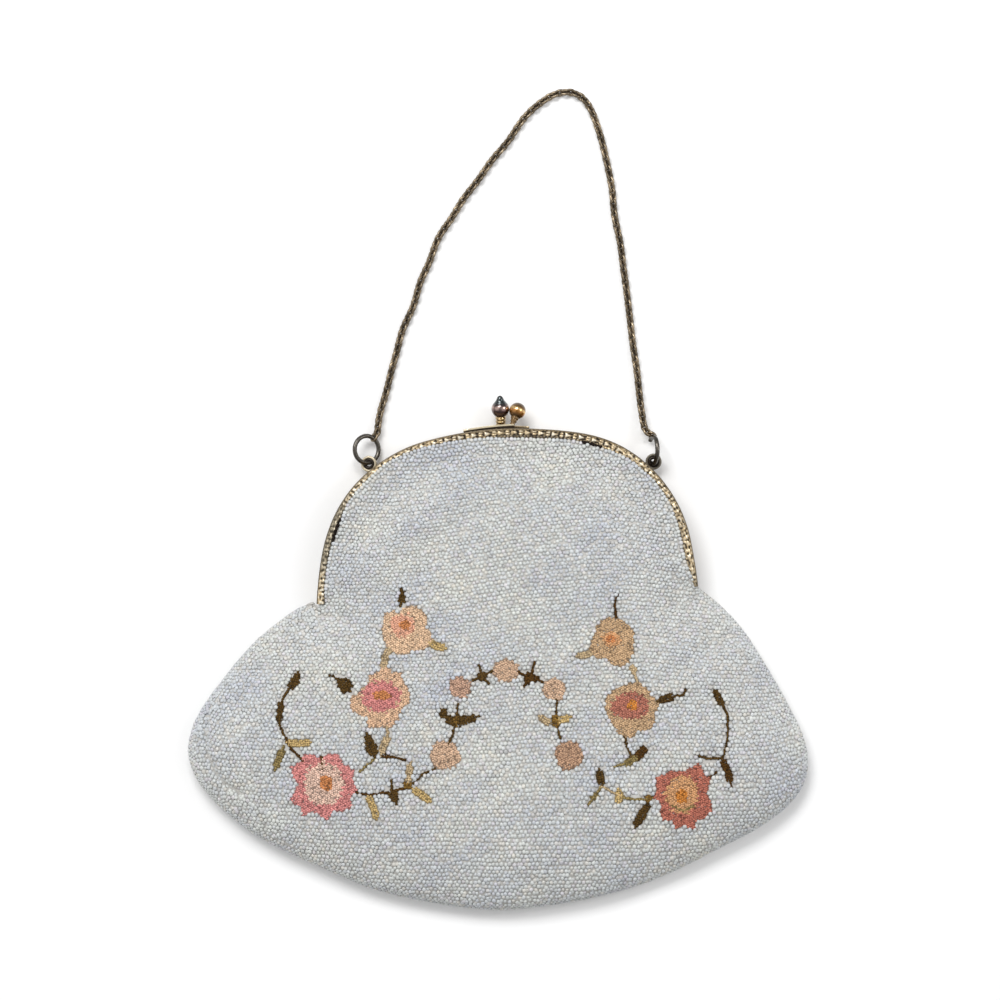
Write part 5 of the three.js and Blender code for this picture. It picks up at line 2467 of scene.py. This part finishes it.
@dataclass
class Studio:
    """Pale floor, soft lamps and a camera that looks straight down."""

    aim: Pair = (0.8, 54.7)
    aim_z: float = 6.0
    distance: float = 1200.0
    field: float = 322.0
    sensor: float = 36.0
    farthest: float = 20000.0
    floor_half: float = 3000.0
    floor_z: float = -0.05
    sky: float = 0.4
    lamps: tuple[Lamp, ...] = (
        Lamp("key", (-250.0, 690.0, 930.0), (700.0, 400.0), 9.0),
        Lamp("side", (720.0, 260.0, 620.0), (240.0, 240.0), 1.3),
        Lamp("left_fill", (-950.0, 200.0, 900.0), (1300.0, 1300.0), 4.0),
        Lamp("right_fill", (900.0, 50.0, 900.0), (1300.0, 1300.0), 3.0),
    )

    def build(self) -> None:
        """Makes the camera, the lamps, the sky and the floor."""
        bpy.context.scene.view_settings.view_transform = "Standard"
        self._camera()
        for row in self.lamps:
            self._lamp(row)
        world = bpy.data.worlds.new("sky")
        world.use_nodes = True
        world.node_tree.nodes["Background"].inputs["Color"].default_value = (1.0, 1.0, 1.0, 1.0)
        world.node_tree.nodes["Background"].inputs["Strength"].default_value = self.sky
        bpy.context.scene.world = world
        self._floor()

    def _camera(self) -> None:
        """Looks straight down at the bag's middle."""
        camera = bpy.data.cameras.new("camera")
        camera.sensor_width = self.sensor
        camera.lens = self.sensor * self.distance / self.field
        camera.clip_end = self.farthest * METRES
        eye = linked("camera", camera)
        eye.location = Vector((*self.aim, self.aim_z + self.distance)) * METRES
        bpy.context.scene.camera = eye

    def _lamp(self, row: Lamp) -> None:
        """Hangs one lamp and turns it to the bag.

        Args:
            row: its place, size and power.
        """
        lamp = bpy.data.lights.new(row.name, "AREA")
        lamp.energy = row.power
        lamp.shape = "RECTANGLE"
        lamp.size, lamp.size_y = (side * METRES for side in row.sides)
        holder = linked(row.name, lamp)
        holder.location = Vector(row.place) * METRES
        target = Vector((*self.aim, 0.0)) * METRES
        holder.rotation_euler = (holder.location - target).to_track_quat("Z", "Y").to_euler()

    def _floor(self) -> None:
        """Lays the pale sheet, which is no part of the bag."""
        half, low = self.floor_half * METRES, self.floor_z * METRES
        mesh = bpy.data.meshes.new("floor")
        corners = [(-half, -half, low), (half, -half, low), (half, half, low), (-half, half, low)]
        mesh.from_pydata(corners, [], [(0, 1, 2, 3)])
        mesh.materials.append(PaleSheet().material())
        linked("floor", mesh)


def main() -> None:
    """Builds the clutch in order."""
    logging.basicConfig(level=logging.INFO, format="%(message)s")
    Studio().build()
    glass, silk, ground = SeedGlass().material(), SilkThread().material(), WovenGround().material()
    gilt = AgedMetal("embossed_gilt", (40, 29, 16), spread=0.2, roughness=0.3, metallic=0.5).material()
    worn_gilt = AgedMetal(
        "worn_gilt", (72, 50, 26), spread=0.4, patches=260.0, roughness=0.12, lacquer=0.4, metallic=0.6
    ).material()
    copper = AgedMetal(
        "coppery_brass", (46, 32, 28), spread=0.6, patches=260.0, roughness=0.1, lacquer=1.0
    ).material()
    dark = AgedMetal("dark_brass", (42, 36, 28), spread=0.75, patches=420.0).material()
    steel = AgedMetal("dark_steel", (46, 45, 44), spread=0.55, patches=420.0, roughness=0.2).material()
    rivet = AgedMetal("rivet_brass", (70, 54, 32), bright=(150, 120, 72)).material()

    front = PanelSurface("front_panel", PanelSide.FRONT, 2)
    back = PanelSurface("back_panel", PanelSide.BACK, 1)
    embroidery = Embroidery(front)
    stitched = embroidery.build(Dressing(silk, "beaded_cloth_front"))
    front_beads = BeadField(
        front, "beads_front", 3, 7, 5, rim_insets=(0.4, 0.95, 1.55), wall_rows=(4.4, 3.4),
        field_inset=2.05, lip=True, embroidery=embroidery,
    ).build(Dressing(glass, "beaded_cloth_front"))
    back_beads = BeadField(
        back, "beads_back", 2, 5, 8, rim_insets=(0.75, 1.85), wall_rows=(2.4,), field_inset=2.5, lip=False,
        sink=0.46,
    ).build(Dressing(glass, "beaded_cloth_back"))
    GroundCloth(front, inset=0.4).build(
        "cloth_front", Dressing(ground, "beaded_cloth_front"), [*stitched, *front_beads]
    )
    GroundCloth(back).build("cloth_back", Dressing(ground, "beaded_cloth_back"), back_beads)

    HingedFrame().build(Dressing(gilt, "frame_gilt"))
    for node in ("hinge_pin_left", "hinge_pin_right"):
        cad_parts[node].data.materials.clear()
        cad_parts[node].data.materials.append(rivet)
        LOG.info("%s: solid kept", node)
    KissLock().build({
        "clasp_front": Dressing(worn_gilt, "clasp_gilt"),
        "clasp_back": Dressing(copper, "clasp_copper"),
    })
    ChainHandle().build(Dressing(steel, "ring_metal"), Dressing(dark, "chain_metal"))


if __name__ == "__main__":
    main()
